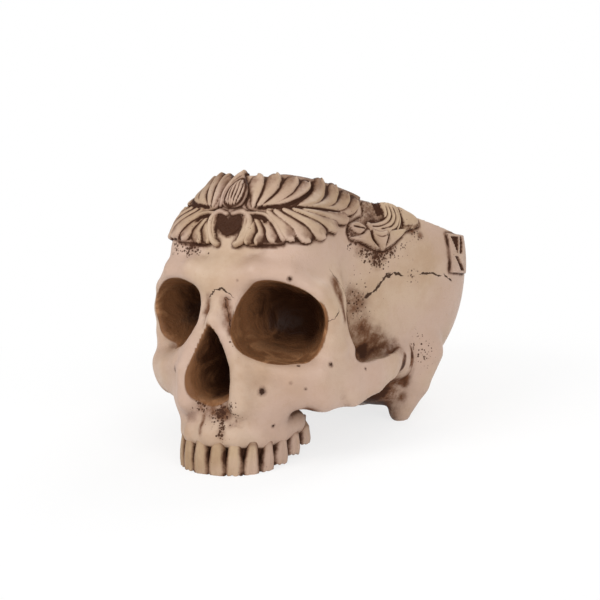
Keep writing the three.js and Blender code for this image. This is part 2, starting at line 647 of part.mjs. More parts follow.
function plaquePlace(s, t) {
  return {
    angle: THREE.MathUtils.lerp(plaqueShare.from, plaqueShare.to, s),
    height: THREE.MathUtils.lerp(plaqueShare.low, plaqueShare.high, t) * faceWidth,
  };
}

// The plaque with its cut-outs, each drawn in shares of its breadth and height.
function plaqueSolid() {
  let solid = relief(4, 4, plaquePlace, () => plaqueRelief, 1);
  for (const outline of plaqueCutShares) {
    const ring = (lift) => outline.map(([s, t]) => {
      const { angle, height } = plaquePlace(s, t);
      return overSkull(angle, height, seatGap + lift);
    }).reverse();
    const cutter = new LoftGeometry([ring(plaqueRelief - recessDepth), ring(2 * plaqueRelief)],
      { capStart: true, capEnd: true });
    solid = solid.subtract(solidOf(cutter));
  }
  return solid;
}

// Standing: the skull leans back, and what reaches the table is worn flat.
const stand = new THREE.Matrix4().makeTranslation(0, 0, standHeight)
  .multiply(new THREE.Matrix4().makeRotationX(-THREE.MathUtils.degToRad(standTilt)));
const tableReach = 2 * regionReachShare * faceWidth;
const table = solidOf(new THREE.BoxGeometry(tableReach, tableReach, tableReach).translate(0, 0, -tableReach / 2));

function standing(solid) {
  return geometryOf(solidOf(geometryOf(solid).applyMatrix4(stand)).subtract(table));
}

// The bones.
const bone = mainBody(solidOf(skullSkin.geometry).subtract(solidOf(overRim())));
const spaceOf = {
  left_cheekbone: (growth) => boneSpace(cheekFrontShares, cheekPlanShares, growth),
  right_cheekbone: (growth) => boneSpace(mirrored(cheekFrontShares), mirrored(cheekPlanShares), growth),
  nasal_bridge: (growth) => boneSpace(noseFrontShares, nosePlanShares, growth),
  upper_jaw: (growth) => boneSpace(jawFrontShares, jawPlanShares, growth)
    .add(boneSpace(jawFootFrontShares, jawFootPlanShares, growth)),
};

const sides = { left: 1, right: -1 };
const solids = {};
const besideJaw = ['left_cheekbone', 'right_cheekbone', 'nasal_bridge'];
let jaw = bone.intersect(spaceOf.upper_jaw(0));
for (const name of besideJaw) jaw = jaw.subtract(spaceOf[name](seamGap));
for (const [sideName, side] of Object.entries(sides)) {
  toothShares.forEach((share, i) => {
    jaw = jaw.subtract(solidOf(toothGeometry(share, toothFacing[i], side, seamGap)));
    solids[`tooth_${sideName}_${share.name}`] = solidOf(toothGeometry(share, toothFacing[i], side, 0));
  });
}
let bowl = bone.subtract(solidOf(bowlInside()));
for (const name of Object.keys(spaceOf)) bowl = bowl.subtract(spaceOf[name](seamGap));
solids.cranial_bowl = mainBody(bowl);
solids.upper_jaw = mainBody(jaw);
for (const name of besideJaw) solids[name] = mainBody(bone.intersect(spaceOf[name](0)));

// The relief.
for (const [sideName, side] of Object.entries(sides)) {
  const leaf = leafPlace(leafShares, leafLobes, lowerLobes, 0.07);
  solids[`crest_${sideName}_large_leaf`] = relief(24, 4, leaf, ribbed(crestRelief, leafLobes, 0.5), side);
  const fan = leafPlace(fanShares, 1, fanLobes, 0.12);
  solids[`crest_${sideName}_small_leaf`] = relief(9, 4, fan, ribbed(crestRelief, fanLobes, 0.8), side);
  const rosette = leafPlace(rosetteShares, 1, 1, 0);
  solids[`${sideName}_temple_rosette`] = relief(16, 5, rosette, ribbed(rosetteRelief, lowerLobes, 0.4), side);
}
const flower = leafPlace(flowerShares, 1, 1, 0);
solids.crest_flower = relief(12, 6, flower, cupped(flowerRelief, flower, flowerHollowShares), 1);
solids.crest_bud = relief(9, 5, budPlace, budded(flowerRelief), 1);
solids.rear_plaque = plaqueSolid();

const colourOf = (name) => {
  if (name.startsWith('tooth')) return toothColour;
  if (name === 'crest_flower' || name === 'crest_bud') return flowerColour;
  if (name.startsWith('crest') || name.endsWith('rosette') || name === 'rear_plaque') return crestColour;
  if (name.endsWith('cheekbone') || name === 'nasal_bridge') return cheekColour;
  return name === 'upper_jaw' ? jawColour : boneColour;
};

const pot = new THREE.Group();
for (const [name, solid] of Object.entries(solids)) {
  const material = new THREE.MeshStandardMaterial({ color: colourOf(name), roughness: 0.62, metalness: 0 });
  const mesh = new THREE.Mesh(standing(solid), material);
  mesh.name = name;
  pot.add(mesh);
}

// The origin is on the table under the middle of the pot.
const extent = new THREE.Box3().setFromObject(pot);
const middle = extent.getCenter(new THREE.Vector3());
pot.position.set(-middle.x, -middle.y, -extent.min.z);

export default pot;
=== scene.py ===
"""A skull pot with a carved crest: cast resin, painted bone with a brown wash.

The bone is one blended distance field, skinned on a grid and parted into the pieces of the CAD frame. The
crest, rosettes and plaque are height maps wrapped round the skull. All forms are worked out in millimetres
on the skull's own axes (x to its left, y to its back, z up, from a point midway between the ears), then stood
on the table in metres. Places and sizes in the tables are shares of FACE_WIDTH where nothing else is said.
"""

import math
from functools import cached_property

import bpy
import numpy as np
from mathutils import Matrix, Vector


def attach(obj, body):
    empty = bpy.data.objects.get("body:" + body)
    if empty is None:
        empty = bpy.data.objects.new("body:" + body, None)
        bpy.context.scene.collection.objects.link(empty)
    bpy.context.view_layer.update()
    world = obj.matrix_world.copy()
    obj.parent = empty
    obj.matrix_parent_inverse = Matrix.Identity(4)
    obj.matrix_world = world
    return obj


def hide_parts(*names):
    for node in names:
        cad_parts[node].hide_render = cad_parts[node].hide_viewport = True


# Driving sizes in millimetres, as in the CAD source.
FACE_WIDTH = 100.0
WALL = 6.5
STAND_HEIGHT = 37.2
STAND_TILT = 12.5  # degrees
FRAME_SHIFT = (-0.935, 4.54, 0.0)  # from under the ears' midpoint to the frame's origin
MM = 0.001

# The pitch of each skin, in millimetres.
BONE_CELL = 1.15
TOOTH_CELL = 0.45
RELIEF_CELL = 0.42

SMALLEST = 1e-9  # keeps a division off zero


def millimetres(shares):
    return np.asarray(shares, float) * FACE_WIDTH


def length(parts):
    return np.sqrt(sum(part ** 2 for part in parts))


def unit(vector):
    return vector / np.linalg.norm(vector)


def smooth_step(value, low, high):
    """0 up to low, 1 from high on, and a soft rise between."""
    t = np.clip((value - low) / (high - low), 0, 1)
    return t * t * (3 - 2 * t)


def blend_near(a, b, reach):
    """The nearer of two distances, flowing together within a reach."""
    if reach <= 0:
        return np.minimum(a, b)
    near = np.maximum(reach - np.abs(a - b), 0) / reach
    return np.minimum(a, b) - near * near * near * reach / 6


def blend_far(a, b, reach):
    return -blend_near(-a, -b, reach)


def on_segment(place, start, end, slimness=1):
    """The share of a segment that lies nearest to each place, and the distance to it."""
    run = end - start
    share = np.clip(sum((p - s) * r for p, s, r in zip(place, start, run)) / max(run @ run, SMALLEST), 0, 1)
    across, *rest = (p - s - share * r for p, s, r in zip(place, start, run))
    return share, length([across * slimness, *rest])


def inside_ring(across, upward, ring):
    """Which places lie in a closed outline."""
    found = np.zeros(np.shape(across), bool)
    for (ax, ay), (bx, by) in zip(ring, np.roll(ring, -1, 0)):
        crosses = (ay > upward) != (by > upward)
        with np.errstate(divide="ignore", invalid="ignore"):
            found ^= crosses & (across < ax + (upward - ay) * (bx - ax) / (by - ay))
    return found


# Solids. Each is a distance function, its low and high bounds and how far it flows into what it meets.
LIMB_BLEND = 0.02
SOCKET_TIP = 0.15  # the width of a socket's end to that of its mouth
SOCKET_FLARE = 0.22  # how much wider it is one depth in front of its mouth
SOCKET_LEAD, SOCKET_MARGIN = 0.7, 1.3  # how far its cut is worked out: depths forward, reaches round


def ball(centre, reach, blend):
    centre, reach = millimetres(centre), millimetres(reach)

    def distance(*place):
        away = [p - c for p, c in zip(place, centre)]
        near = length(a / r for a, r in zip(away, reach))
        steep = length(a / r ** 2 for a, r in zip(away, reach))
        return near * (near - 1) / np.maximum(steep, 1e-6)

    return distance, centre - reach, centre + reach, blend * FACE_WIDTH


def limb(path, radii, blend, slimness=1):
    """A chain of tapering pieces with round ends."""
    points, radii = millimetres(path), millimetres(radii)

    def distance(*place):
        found = None
        for start, end, near, far in zip(points, points[1:], radii, radii[1:]):
            share, away = on_segment(place, start, end, slimness)
            out = (away - near - (far - near) * share) / (0.5 + slimness / 2)
            found = out if found is None else blend_near(found, out, LIMB_BLEND * FACE_WIDTH)
        return found

    return distance, points.min(0) - radii.max(), points.max(0) + radii.max(), blend * FACE_WIDTH


def socket(form):
    """A rounded hollow that narrows from its mouth to its end."""
    mouth = millimetres(form["mouth"])
    inward = unit(millimetres(form["end"]) - mouth)
    side = unit(np.cross((0, 0, 1), inward))
    up = np.cross(inward, side)
    turn = math.radians(form["roll"])
    across = math.cos(turn) * side + math.sin(turn) * up
    upward = math.cos(turn) * up - math.sin(turn) * side
    half_width, half_height = millimetres(form["reach"])
    depth, power = form["depth"] * FACE_WIDTH, form["squareness"]

    def distance(*place):
        away = [p - m for p, m in zip(place, mouth)]
        far, aside, height = (sum(a * w for a, w in zip(away, way)) for way in (inward, across, upward))
        t = np.clip(far / depth, -1, 1)
        inner = np.sqrt(np.maximum(1 - t * t * (1 - SOCKET_TIP ** 2), SOCKET_TIP ** 2))
        size = np.where(t > 0, inner, 1 - SOCKET_FLARE * t)
        height = height / half_height
        narrowing = 1 - form["draw_in"] * np.clip(height, -1, 1)
        aside = np.abs(aside) / (half_width * size * narrowing)
        out = (aside ** power + (np.abs(height) / size) ** power) ** (1 / power)
        return np.maximum((out - 1) * min(half_width, half_height) * size, far - depth)

    reach = max(half_width, half_height) * SOCKET_MARGIN
    ends = np.array([mouth - inward * depth * SOCKET_LEAD, mouth + inward * depth])
    return distance, ends.min(0) - reach, ends.max(0) + reach, form["blend"] * FACE_WIDTH


def both(solid):
    """A solid of the skull's left side and its twin on the right."""
    distance, low, high, blend = solid
    twin_low, twin_high = low.copy(), high.copy()
    twin_low[0], twin_high[0] = -high[0], -low[0]
    return [solid, ((lambda x, y, z: distance(-x, y, z)), twin_low, twin_high, blend)]


# The bone's forms, in the order in which they flow together.
VAULT = [
    ball((0, 0.2, 0.46), (0.64, 0.66, 0.71), 0),
    *both(ball((0.3, 0.43, 0.46), (0.37, 0.37, 0.6), 0.24)),
    ball((0, -0.28, 0.54), (0.43, 0.59, 0.52), 0.28),
    ball((0, 0.04, 0.14), (0.56, 0.58, 0.38), 0.14),
    ball((0, 0.4, 0.1), (0.5, 0.42, 0.44), 0.12),
]
FACE = [
    # the forehead's corners
    *both(ball((0.25, -0.62, 0.46), (0.19, 0.24, 0.3), 0.14)),
    # the brows, and between them
    *both(limb(((0.06, -0.86, 0.35), (0.18, -0.87, 0.39), (0.32, -0.82, 0.385), (0.43, -0.73, 0.3),
        (0.47, -0.68, 0.2)), (0.07, 0.065, 0.062, 0.06, 0.056), 0.08)),
    ball((0, -0.82, 0.34), (0.14, 0.12, 0.16), 0.08),
    # the outer rims of the eye sockets
    *both(limb(((0.47, -0.67, 0.2), (0.47, -0.66, 0.08), (0.45, -0.65, -0.04)),
        (0.054, 0.055, 0.065), 0.07)),
    *both(limb(((0.485, -0.59, 0.16), (0.5, -0.53, 0.04), (0.48, -0.52, -0.06)),
        (0.034, 0.042, 0.06), 0.06)),
    *both(limb(((0.48, -0.64, 0.16), (0.49, -0.61, 0.04), (0.475, -0.6, -0.06)),
        (0.04, 0.052, 0.065), 0.07)),
    # behind the brows
    *both(ball((0.38, -0.6, 0.26), (0.13, 0.13, 0.18), 0.09)),
    # the inner walls of the eye sockets, and the root of the nose
    *both(ball((0.17, -0.66, 0), (0.19, 0.2, 0.17), 0.08)),
    ball((0, -0.76, 0.14), (0.13, 0.14, 0.2), 0.06),
    # the cheekbones
    ball((0.42, -0.64, -0.14), (0.11, 0.1, 0.125), 0.08),
    ball((-0.425, -0.64, -0.12), (0.105, 0.1, 0.1), 0.08),
    # the lower rims of the eye sockets
    *both(limb(((0.44, -0.7, -0.08), (0.35, -0.78, -0.095), (0.23, -0.86, -0.06), (0.125, -0.89, 0.05)),
        (0.065, 0.06, 0.055, 0.045), 0.08)),
    # the upper jaw's sides
    *both(ball((0.165, -0.75, -0.2), (0.155, 0.16, 0.19), 0.11)),
    *both(ball((0.32, -0.72, -0.14), (0.12, 0.09, 0.11), 0.1)),
    # the sides, the bridge and the upper rim of the nose
    *both(limb(((0.085, -0.85, 0.28), (0.095, -0.905, 0.09), (0.155, -0.925, -0.09), (0.15, -0.91, -0.24)),
        (0.046, 0.045, 0.055, 0.06), 0.08)),
    limb(((0, -0.85, 0.32), (0, -0.905, 0.23), (-0.012, -0.95, 0.15)), (0.06, 0.037, 0.026), 0.06),
    *both(limb(((-0.005, -0.94, 0.16), (0.06, -0.935, 0.075), (0.11, -0.925, -0.02)),
        (0.024, 0.027, 0.028), 0.05)),
    ball((0.045, -0.865, 0.2), (0.06, 0.06, 0.1), 0.05),
    # the tooth row
    *both(limb(((0, -0.91, -0.395), (0.118, -0.883, -0.4), (0.182, -0.805, -0.4), (0.22, -0.69, -0.375),
        (0.235, -0.56, -0.335)), (0.06, 0.06, 0.062, 0.066, 0.066), 0.06)),
    # the roof of the palate, and the spine under the nose
    ball((0, -0.66, -0.28), (0.22, 0.24, 0.08), 0.08),
    limb(((0, -0.88, -0.205), (0, -0.955, -0.215)), (0.04, 0.016), 0.03),
    # the outer walls of the eye sockets
    *both(ball((0.32, -0.51, 0.08), (0.15, 0.18, 0.33), 0.08)),
    # over the roots of the front teeth
    ball((0, -0.84, -0.31), (0.15, 0.088, 0.1), 0.07),
    *both(ball((0.15, -0.79, -0.33), (0.09, 0.095, 0.09), 0.07)),
    # behind the palate
    *both(limb(((0.14, -0.5, -0.22), (0.15, -0.46, -0.34)), (0.065, 0.05), 0.06)),
    # the middle of the base
    ball((0, -0.2, -0.12), (0.24, 0.4, 0.14), 0.08),
    # the cheek arches
    *both(limb(((0.46, -0.6, -0.14), (0.54, -0.5, -0.13), (0.59, -0.36, -0.09), (0.605, -0.22, -0.045),
        (0.59, -0.1, -0.01), (0.54, 0.02, 0.005)), (0.11, 0.105, 0.082, 0.062, 0.055, 0.055), 0.06, 2.2)),
    # the base beside the ears, the knobs behind them, and the ears' ground
    *both(ball((0.35, 0.17, -0.18), (0.16, 0.24, 0.1), 0.06)),
    *both(limb(((0.52, 0.26, 0.02), (0.52, 0.2, -0.14), (0.49, 0.155, -0.305)),
        (0.145, 0.105, 0.058), 0.09)),
    *both(ball((0.49, 0, -0.02), (0.12, 0.14, 0.12), 0.06)),
    # the ledge that the gums stand on
    *both(limb(((0, -0.88, -0.475), (0.12, -0.855, -0.475), (0.172, -0.8, -0.465), (0.2, -0.69, -0.44),
        (0.215, -0.52, -0.39)), (0.042, 0.042, 0.042, 0.036, 0.03), 0.02)),
]
# A socket's dimmer adds painted shade to its lining; the nose takes the most.
SOCKETS = [
    dict(mouth=(0.29, -0.83, 0.158), end=(0.2, -0.5, 0.163), reach=(0.21, 0.187), depth=0.33,
        squareness=2.5, roll=14, draw_in=0, blend=0.025, dimmer=0),
    dict(mouth=(-0.302, -0.83, 0.176), end=(-0.212, -0.5, 0.172), reach=(0.2, 0.165), depth=0.33,
        squareness=2.4, roll=-8, draw_in=0, blend=0.025, dimmer=0),
    dict(mouth=(-0.018, -1.01, -0.05), end=(-0.013, -0.6, -0.09), reach=(0.085, 0.178), depth=0.31,
        squareness=2.0, roll=0, draw_in=0.66, blend=0.02, dimmer=0.35),
]
EAR_SLOT = limb(((0.62, 0.03, 0.05), (0.61, 0.03, -0.02), (0.61, 0.02, -0.09)), (0.012, 0.024, 0.018), 0.02)
PALATE = ball((0, -0.66, -0.46), (0.165, 0.24, 0.12), 0.04)
HOLLOWS = [*(socket(form) for form in SOCKETS), *both(EAR_SLOT), PALATE]
RIM = ((-1.1, 0.934), (-0.6, 0.852), (-0.2, 0.78), (0.1, 0.72), (0.35, 0.672), (0.55, 0.648), (1.1, 0.63))
BOWL_FLOOR = -0.13
SPACE_LOW = (-0.76, -1.14, -0.56)
SPACE_HIGH = (0.76, 1.0, 0.96)

# Millimetres.
VAULT_PAD, FACE_PAD, CUT_PAD = 70.0, 30.0, 6.0  # how far round a form its distances are worked out
FAR_OFF = 60.0  # the distance where no form is near
CEILING_BLEND, FLOOR_BLEND, MOUTH_BLEND, RIM_BLEND = 6.0, 8.0, 0.8, 0.6  # how softly the bowl's walls meet
RIM_STEEPNESS = 0.98  # how fast the distance from the tilted rim grows with height


class Grid:
    """Distances on a regular grid, and the skin where they change sign."""

    def __init__(self, low, high, cell):
        self.low, self.cell = np.array(low, float), cell
        self.count = np.ceil((np.array(high) - self.low) / cell).astype(int) + 1
        self.values = np.full(self.count, FAR_OFF, np.float32)

    def window(self, low, high, pad):
        first = np.clip(np.floor((low - pad - self.low) / self.cell).astype(int), 0, self.count)
        last = np.clip(np.ceil((high + pad - self.low) / self.cell).astype(int) + 1, 0, self.count)
        return tuple(slice(a, b) for a, b in zip(first, last))

    def axes(self, window=(slice(None),) * 3):
        lines = [(low + self.cell * np.arange(count)).astype(np.float32)[part]
                 for low, count, part in zip(self.low, self.count, window)]
        return np.meshgrid(*lines, indexing="ij", sparse=True)

    def add(self, solid, pad, sign=1):
        """Blends a solid in, or cuts it out with the sign -1."""
        distance, low, high, blend = solid
        window = self.window(low, high, pad + blend)
        here = distance(*self.axes(window))
        self.values[window] = sign * blend_near(sign * self.values[window], here, blend)

    def sample(self, points):
        """The distance at points, read between the grid's own."""
        place = np.clip((points - self.low) / self.cell, 0, np.array(self.count) - 1.001)
        base = place.astype(int)
        part = place - base
        found = np.zeros(len(points))
        for corner in np.ndindex(2, 2, 2):
            share = np.prod(np.where(corner, part, 1 - part), axis=1)
            found += share * self.values[tuple((base + corner).T)]
        return found

    def slope(self, points, step):
        """The outward direction at points."""
        steps = np.eye(3) * step
        way = np.stack([self.sample(points + s) - self.sample(points - s) for s in steps], axis=1)
        return way / np.maximum(np.linalg.norm(way, axis=1, keepdims=True), SMALLEST)

    def skin(self):
        """One vertex in each crossed cell and one quad across each crossed edge."""
        inside = self.values < 0
        size = np.array(inside.shape) - 1
        total = sum(inside[tuple(slice(c, c + n) for c, n in zip(corner, size))].astype(np.int8)
                    for corner in np.ndindex(2, 2, 2))
        active = (total > 0) & (total < 8)
        cells = np.argwhere(active)
        number = np.full(active.shape, -1, np.int64)
        number[active] = np.arange(len(cells))
        quads = [self.quads_across(axis, inside, number) for axis in range(3)]
        return self.low + self.cell * (cells + self.crossing(cells)), np.concatenate(quads)

    def crossing(self, cells):
        """The middle of the places where the skin crosses each cell's edges."""
        corners = list(np.ndindex(2, 2, 2))
        value = {corner: self.values[tuple((cells + corner).T)].astype(float) for corner in corners}
        place, crossings = np.zeros((len(cells), 3)), np.zeros(len(cells))
        for axis, corner in ((axis, corner) for axis in range(3) for corner in corners if not corner[axis]):
            other = tuple(1 if n == axis else c for n, c in enumerate(corner))
            a, b = value[corner], value[other]
            crossed = (a < 0) != (b < 0)
            point = np.repeat(np.array(corner, float)[None], len(cells), 0)
            point[:, axis] += np.where(crossed, a / np.where(crossed, a - b, 1), 0)
            place[crossed] += point[crossed]
            crossings[crossed] += 1
        return place / crossings[:, None]

    def quads_across(self, axis, inside, number):
        """The quads across the crossed edges that run along one axis."""
        u, v = (axis + 1) % 3, (axis + 2) % 3
        here, there = (inside[tuple(part if n == axis else slice(None) for n in range(3))]
                       for part in (slice(0, -1), slice(1, None)))
        edges = np.argwhere(here != there)
        kept = [(edges[:, n] > 0) & (edges[:, n] < inside.shape[n] - 1) for n in (u, v)]
        edges = edges[kept[0] & kept[1]]
        outward = here[tuple(edges.T)]
        ring = []
        for du, dv in ((-1, -1), (0, -1), (0, 0), (-1, 0)):
            cell = edges.copy()
            cell[:, u] += du
            cell[:, v] += dv
            ring.append(number[tuple(cell.T)])
        ring = np.stack(ring, axis=1)
        ring[~outward] = ring[~outward][:, ::-1]
        return ring


def rim_height(back):
    return np.interp(back, *millimetres(RIM).T)


def bone_grid():
    """The bone's outer forms alone, and the whole bone, hollowed and with its crown taken off."""
    space = millimetres(SPACE_LOW), millimetres(SPACE_HIGH), BONE_CELL
    vault, outer, bone = Grid(*space), Grid(*space), Grid(*space)
    for solid in VAULT:
        vault.add(solid, VAULT_PAD)
    outer.values = vault.values.copy()
    for solid in FACE:
        outer.add(solid, FACE_PAD)
    bone.values = outer.values.copy()
    for solid in HOLLOWS:
        bone.add(solid, CUT_PAD, -1)
    _, y, z = bone.axes()
    room = blend_far(vault.values + WALL, bone.values + WALL, CEILING_BLEND)
    room = blend_far(room, BOWL_FLOOR * FACE_WIDTH - z, FLOOR_BLEND)
    bone.values = blend_far(bone.values, -room, MOUTH_BLEND)
    above_rim = (z - rim_height(y)) * RIM_STEEPNESS
    bone.values = blend_far(bone.values, above_rim, RIM_BLEND).astype(np.float32)
    return outer, bone


# Standing: the skull leans back on the table.
STAND = (
    Matrix.Translation(Vector(FRAME_SHIFT) * MM)
    @ Matrix.Translation((0, 0, STAND_HEIGHT * MM))
    @ Matrix.Rotation(-math.radians(STAND_TILT), 4, "X")
    @ Matrix.Scale(MM, 4)
)
STAND_ROWS = np.array(STAND)


def stand(points):
    """Points of the skull as they stand in the frame, in metres, worn flat at the table."""
    placed = points @ STAND_ROWS[:3, :3].T + STAND_ROWS[:3, 3]
    placed[:, 2] = np.maximum(placed[:, 2], 0)
    return placed


def add_object(name, data):
    made = bpy.data.objects.new(name, data)
    bpy.context.scene.collection.objects.link(made)
    return made


def make_piece(name, vertices, faces, normals, values, material, nodes):
    """A mesh piece in the frame, with its smooth normals and its paint values."""
    mesh = bpy.data.meshes.new(name)
    mesh.from_pydata(stand(vertices).tolist(), [], faces.tolist())
    mesh.polygons.foreach_set("use_smooth", np.ones(len(mesh.polygons), bool))
    for key, value in values.items():
        mesh.attributes.new(key, "FLOAT", "POINT").data.foreach_set("value", value.astype(np.float32))
    if normals is not None:
        turned = normals @ (STAND_ROWS[:3, :3].T / MM)
        mesh.normals_split_custom_set_from_vertices(turned.tolist())
    mesh.materials.append(material)
    piece = add_object(name, mesh)
    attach(piece, "root")
    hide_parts(*nodes)


# Brown wash on the skull, and painted shade under the cheek and the base: a place (x, y, z) or the two ends
# of a streak, then reach and strength. The lists for both sides give the left one.
WASH_AND_SHADE_OWN = [
    (((0.045, -0.93, 0.25), (0.1, -0.94, 0.1)), 0.03, 0.95),  # bridge of the nose
    (((0.1, -0.93, 0.13), (0.14, -0.92, 0.02)), 0.024, 0.85),
    (((0.15, -0.95, -0.02), (0.155, -0.95, -0.12)), 0.028, 0.4),
    (((0.06, -0.93, 0.2), (0.06, -0.95, 0.14)), 0.02, 0.6),
    (((-0.05, -0.92, 0.27), (-0.065, -0.93, 0.19)), 0.026, 0.8),
    ((0.0, -0.92, -0.28), 0.06, 1.0),  # under the nose
    ((0.06, -0.93, -0.29), 0.05, 1.1),
    ((-0.06, -0.92, -0.27), 0.04, 0.8),
    ((0.1, -0.93, -0.33), 0.035, 0.5),
    ((0.51, -0.24, 0.5), 0.06, 0.8),  # below the rosette
    ((0.46, -0.35, 0.54), 0.05, 0.6),
    ((0.54, -0.16, 0.56), 0.04, 0.7),
    ((0.59, -0.01, 0.66), 0.035, 0.9),
    ((0.6, 0.05, 0.63), 0.03, 0.7),
    ((0.47, -0.2, 0.73), 0.09, 0.9),  # behind the rosette
    ((-0.2, -0.86, 0.51), 0.05, 0.6),  # under the small leaf
    ((0.2, -0.87, 0.5), 0.04, 0.3),
    ((0.4, -0.68, -0.27), 0.05, 1.2),  # painted shade under the cheek
    ((0.33, -0.66, -0.28), 0.06, 1.2),
    (((0.06, -0.935, -0.3), (0.075, -0.965, -0.4)), 0.022, 0.95),  # between the roots of the front teeth
    (((-0.045, -0.935, -0.31), (-0.04, -0.97, -0.39)), 0.018, 0.85),
    (((0.14, -0.94, -0.2), (0.11, -0.94, -0.3)), 0.02, 0.5),
    ((-0.17, -0.86, -0.3), 0.05, 0.5),
    ((-0.2, -0.82, -0.36), 0.05, 0.4),
]
WASH_AND_SHADE_BOTH = [
    ((0.46, -0.3, 0.13), 0.1, 0.95),  # temple hollow
    ((0.5, -0.2, 0.06), 0.1, 1.05),
    ((0.46, -0.26, 0.02), 0.1, 1.2),
    ((0.56, -0.12, 0.02), 0.06, 0.9),
    ((0.43, -0.42, 0.12), 0.12, 1.1),
    (((0.485, -0.64, 0.37), (0.54, -0.62, 0.2)), 0.034, 0.95),
    (((0.46, -0.5, 0.34), (0.43, -0.42, 0.18)), 0.07, 0.75),
    ((0.45, -0.36, 0.27), 0.1, 0.8),
    (((0.62, -0.09, 0.0), (0.61, -0.12, -0.07)), 0.028, 1.4),
    (((0.605, 0.045, 0.04), (0.6, 0.055, -0.02)), 0.026, 1.5),  # ear
    (((0.57, 0.05, -0.03), (0.53, 0.08, -0.14)), 0.035, 1.35),
    ((0.54, 0.04, -0.12), 0.06, 1.3),
    # painted shade on the underside of the base beside and behind the ears
    ((0.43, -0.05, -0.18), 0.14, 1.8),
    ((0.34, 0.12, -0.26), 0.14, 1.8),
    ((0.52, 0.1, -0.22), 0.04, 0.8),
]
STIPPLE_OWN = [
    ((0.51, -0.24, 0.5), 0.07, 1.2),
    ((0.48, -0.31, 0.52), 0.06, 1.1),
    ((0.44, -0.4, 0.56), 0.05, 0.9),
    ((0.54, -0.17, 0.54), 0.06, 1.1),
    ((0.57, -0.09, 0.58), 0.05, 0.7),
    ((0.6, 0.02, 0.64), 0.05, 0.8),
    ((-0.21, -0.86, 0.5), 0.06, 1.2),
    ((-0.31, -0.84, 0.5), 0.05, 1.0),
    ((-0.12, -0.88, 0.48), 0.04, 0.7),
    ((0.05, -0.93, -0.29), 0.06, 1.2),
    ((-0.06, -0.92, -0.26), 0.05, 1.0),
    ((0.12, -0.94, -0.26), 0.05, 1.0),
    (((0.06, -0.94, -0.33), (0.075, -0.965, -0.4)), 0.03, 0.9),
    ((0.12, -0.94, 0.08), 0.05, 0.8),
]
STIPPLE_BOTH = [
    ((0.45, -0.34, 0.28), 0.12, 0.6),
    ((0.6, 0.12, 0.02), 0.1, 0.6),
    ((0.6, -0.02, 0.43), 0.06, 0.6),
]
PITS = [  # small dark holes: (x, y, z), radius
    ((0.25, -0.89, -0.17), 0.022), ((-0.22, -0.92, -0.1), 0.022), ((0.36, -0.87, 0.37), 0.014),
    ((-0.24, -0.9, 0.39), 0.012), ((0.51, -0.7, -0.03), 0.014), ((0.39, -0.8, -0.04), 0.01),
    ((0.37, -0.83, -0.12), 0.012), ((0.59, -0.48, -0.05), 0.009), ((0.27, -0.8, -0.34), 0.012),
    ((0.11, -0.94, 0.35), 0.008), ((0.13, -0.92, -0.32), 0.009), ((0.43, -0.79, -0.15), 0.009),
    ((0.62, -0.42, 0.02), 0.008), ((0.05, -0.93, -0.4), 0.01), ((0.14, -0.9, -0.42), 0.01),
]
CRACKS = [  # dark sutures on the left side: points, and a half width in millimetres
    (((0.49, -0.75, 0.17), (0.52, -0.71, 0.19), (0.53, -0.69, 0.22)), 0.7),
    (((0.46, -0.64, 0.42), (0.47, -0.62, 0.37), (0.49, -0.57, 0.31), (0.47, -0.52, 0.25)), 0.5),
    (((0.47, -0.28, 0.3), (0.5, -0.23, 0.34), (0.51, -0.21, 0.37), (0.53, -0.18, 0.42)), 1.0),
    (((0.54, -0.17, 0.41), (0.555, -0.14, 0.43), (0.575, -0.1, 0.42)), 1.1),
    (((0.63, 0.05, 0.435), (0.65, 0.12, 0.44), (0.665, 0.19, 0.43)), 0.7),
    (((0.67, 0.25, 0.43), (0.68, 0.31, 0.41)), 0.6),
    (((-0.04, -0.95, 0.27), (-0.01, -0.95, 0.3), (0.03, -0.95, 0.31), (0.07, -0.93, 0.28)), 0.8),
    (((0.05, -0.94, 0.25), (0.07, -0.94, 0.18), (0.09, -0.94, 0.12)), 0.7),
    (((0.11, -0.91, 0.2), (0.11, -0.92, 0.1), (0.14, -0.92, 0.03)), 0.9),
    (((0.12, -0.89, 0.22), (0.15, -0.87, 0.22), (0.17, -0.85, 0.24)), 0.8),
]
CRACK_REACH = 3.0  # millimetres
CRACK_FULL = 0.6  # the share of that reach in which a crack is at full strength
NO_PIT = 9.0  # pit radii away
HOLLOW_REACHES = (1.5, 3.0, 6.0, 12.0)  # millimetres off the surface where room is felt for
FINE_GAIN, FINE_FROM, BROAD_FROM = 1.25, 0.18, 0.25  # how shut in a place must be to take the wash
OUTSIDE = 2.0  # millimetres under the outer forms that still count as the skull's outside
GUM_LINE = ((-1.0, -0.45), (-0.8, -0.445), (-0.6, -0.4), (-0.4, -0.36))  # back, height
GUM_FADE = (-1.0, 1.5)  # millimetres below that line
GUM_BACK, GUM_WASH = -0.4, 1.2  # how far back the gum is washed, and how strongly
SOCKET_SHADE = 0.3  # how much dimmer a socket's top is than its middle
SOCKET_RIM = (0.2, 1.6)  # millimetres under the outer forms over which a socket's lining begins
SOCKET_MOUTH = 0.12  # the share of its depth after which a socket is lined in any case
SOCKET_WALL = (-2.2, -0.8)  # millimetres off a socket's own wall over which its lining ends


def hollowness(grid, points, normals):
    """How shut in each point is, from 0 in the open to 1 in a cleft: fine, then broad."""
    shut = [np.clip(1 - grid.sample(points + normals * reach) / reach, 0, 1) for reach in HOLLOW_REACHES]
    return (shut[0] + shut[1]) / 2, (shut[2] + shut[3]) / 2


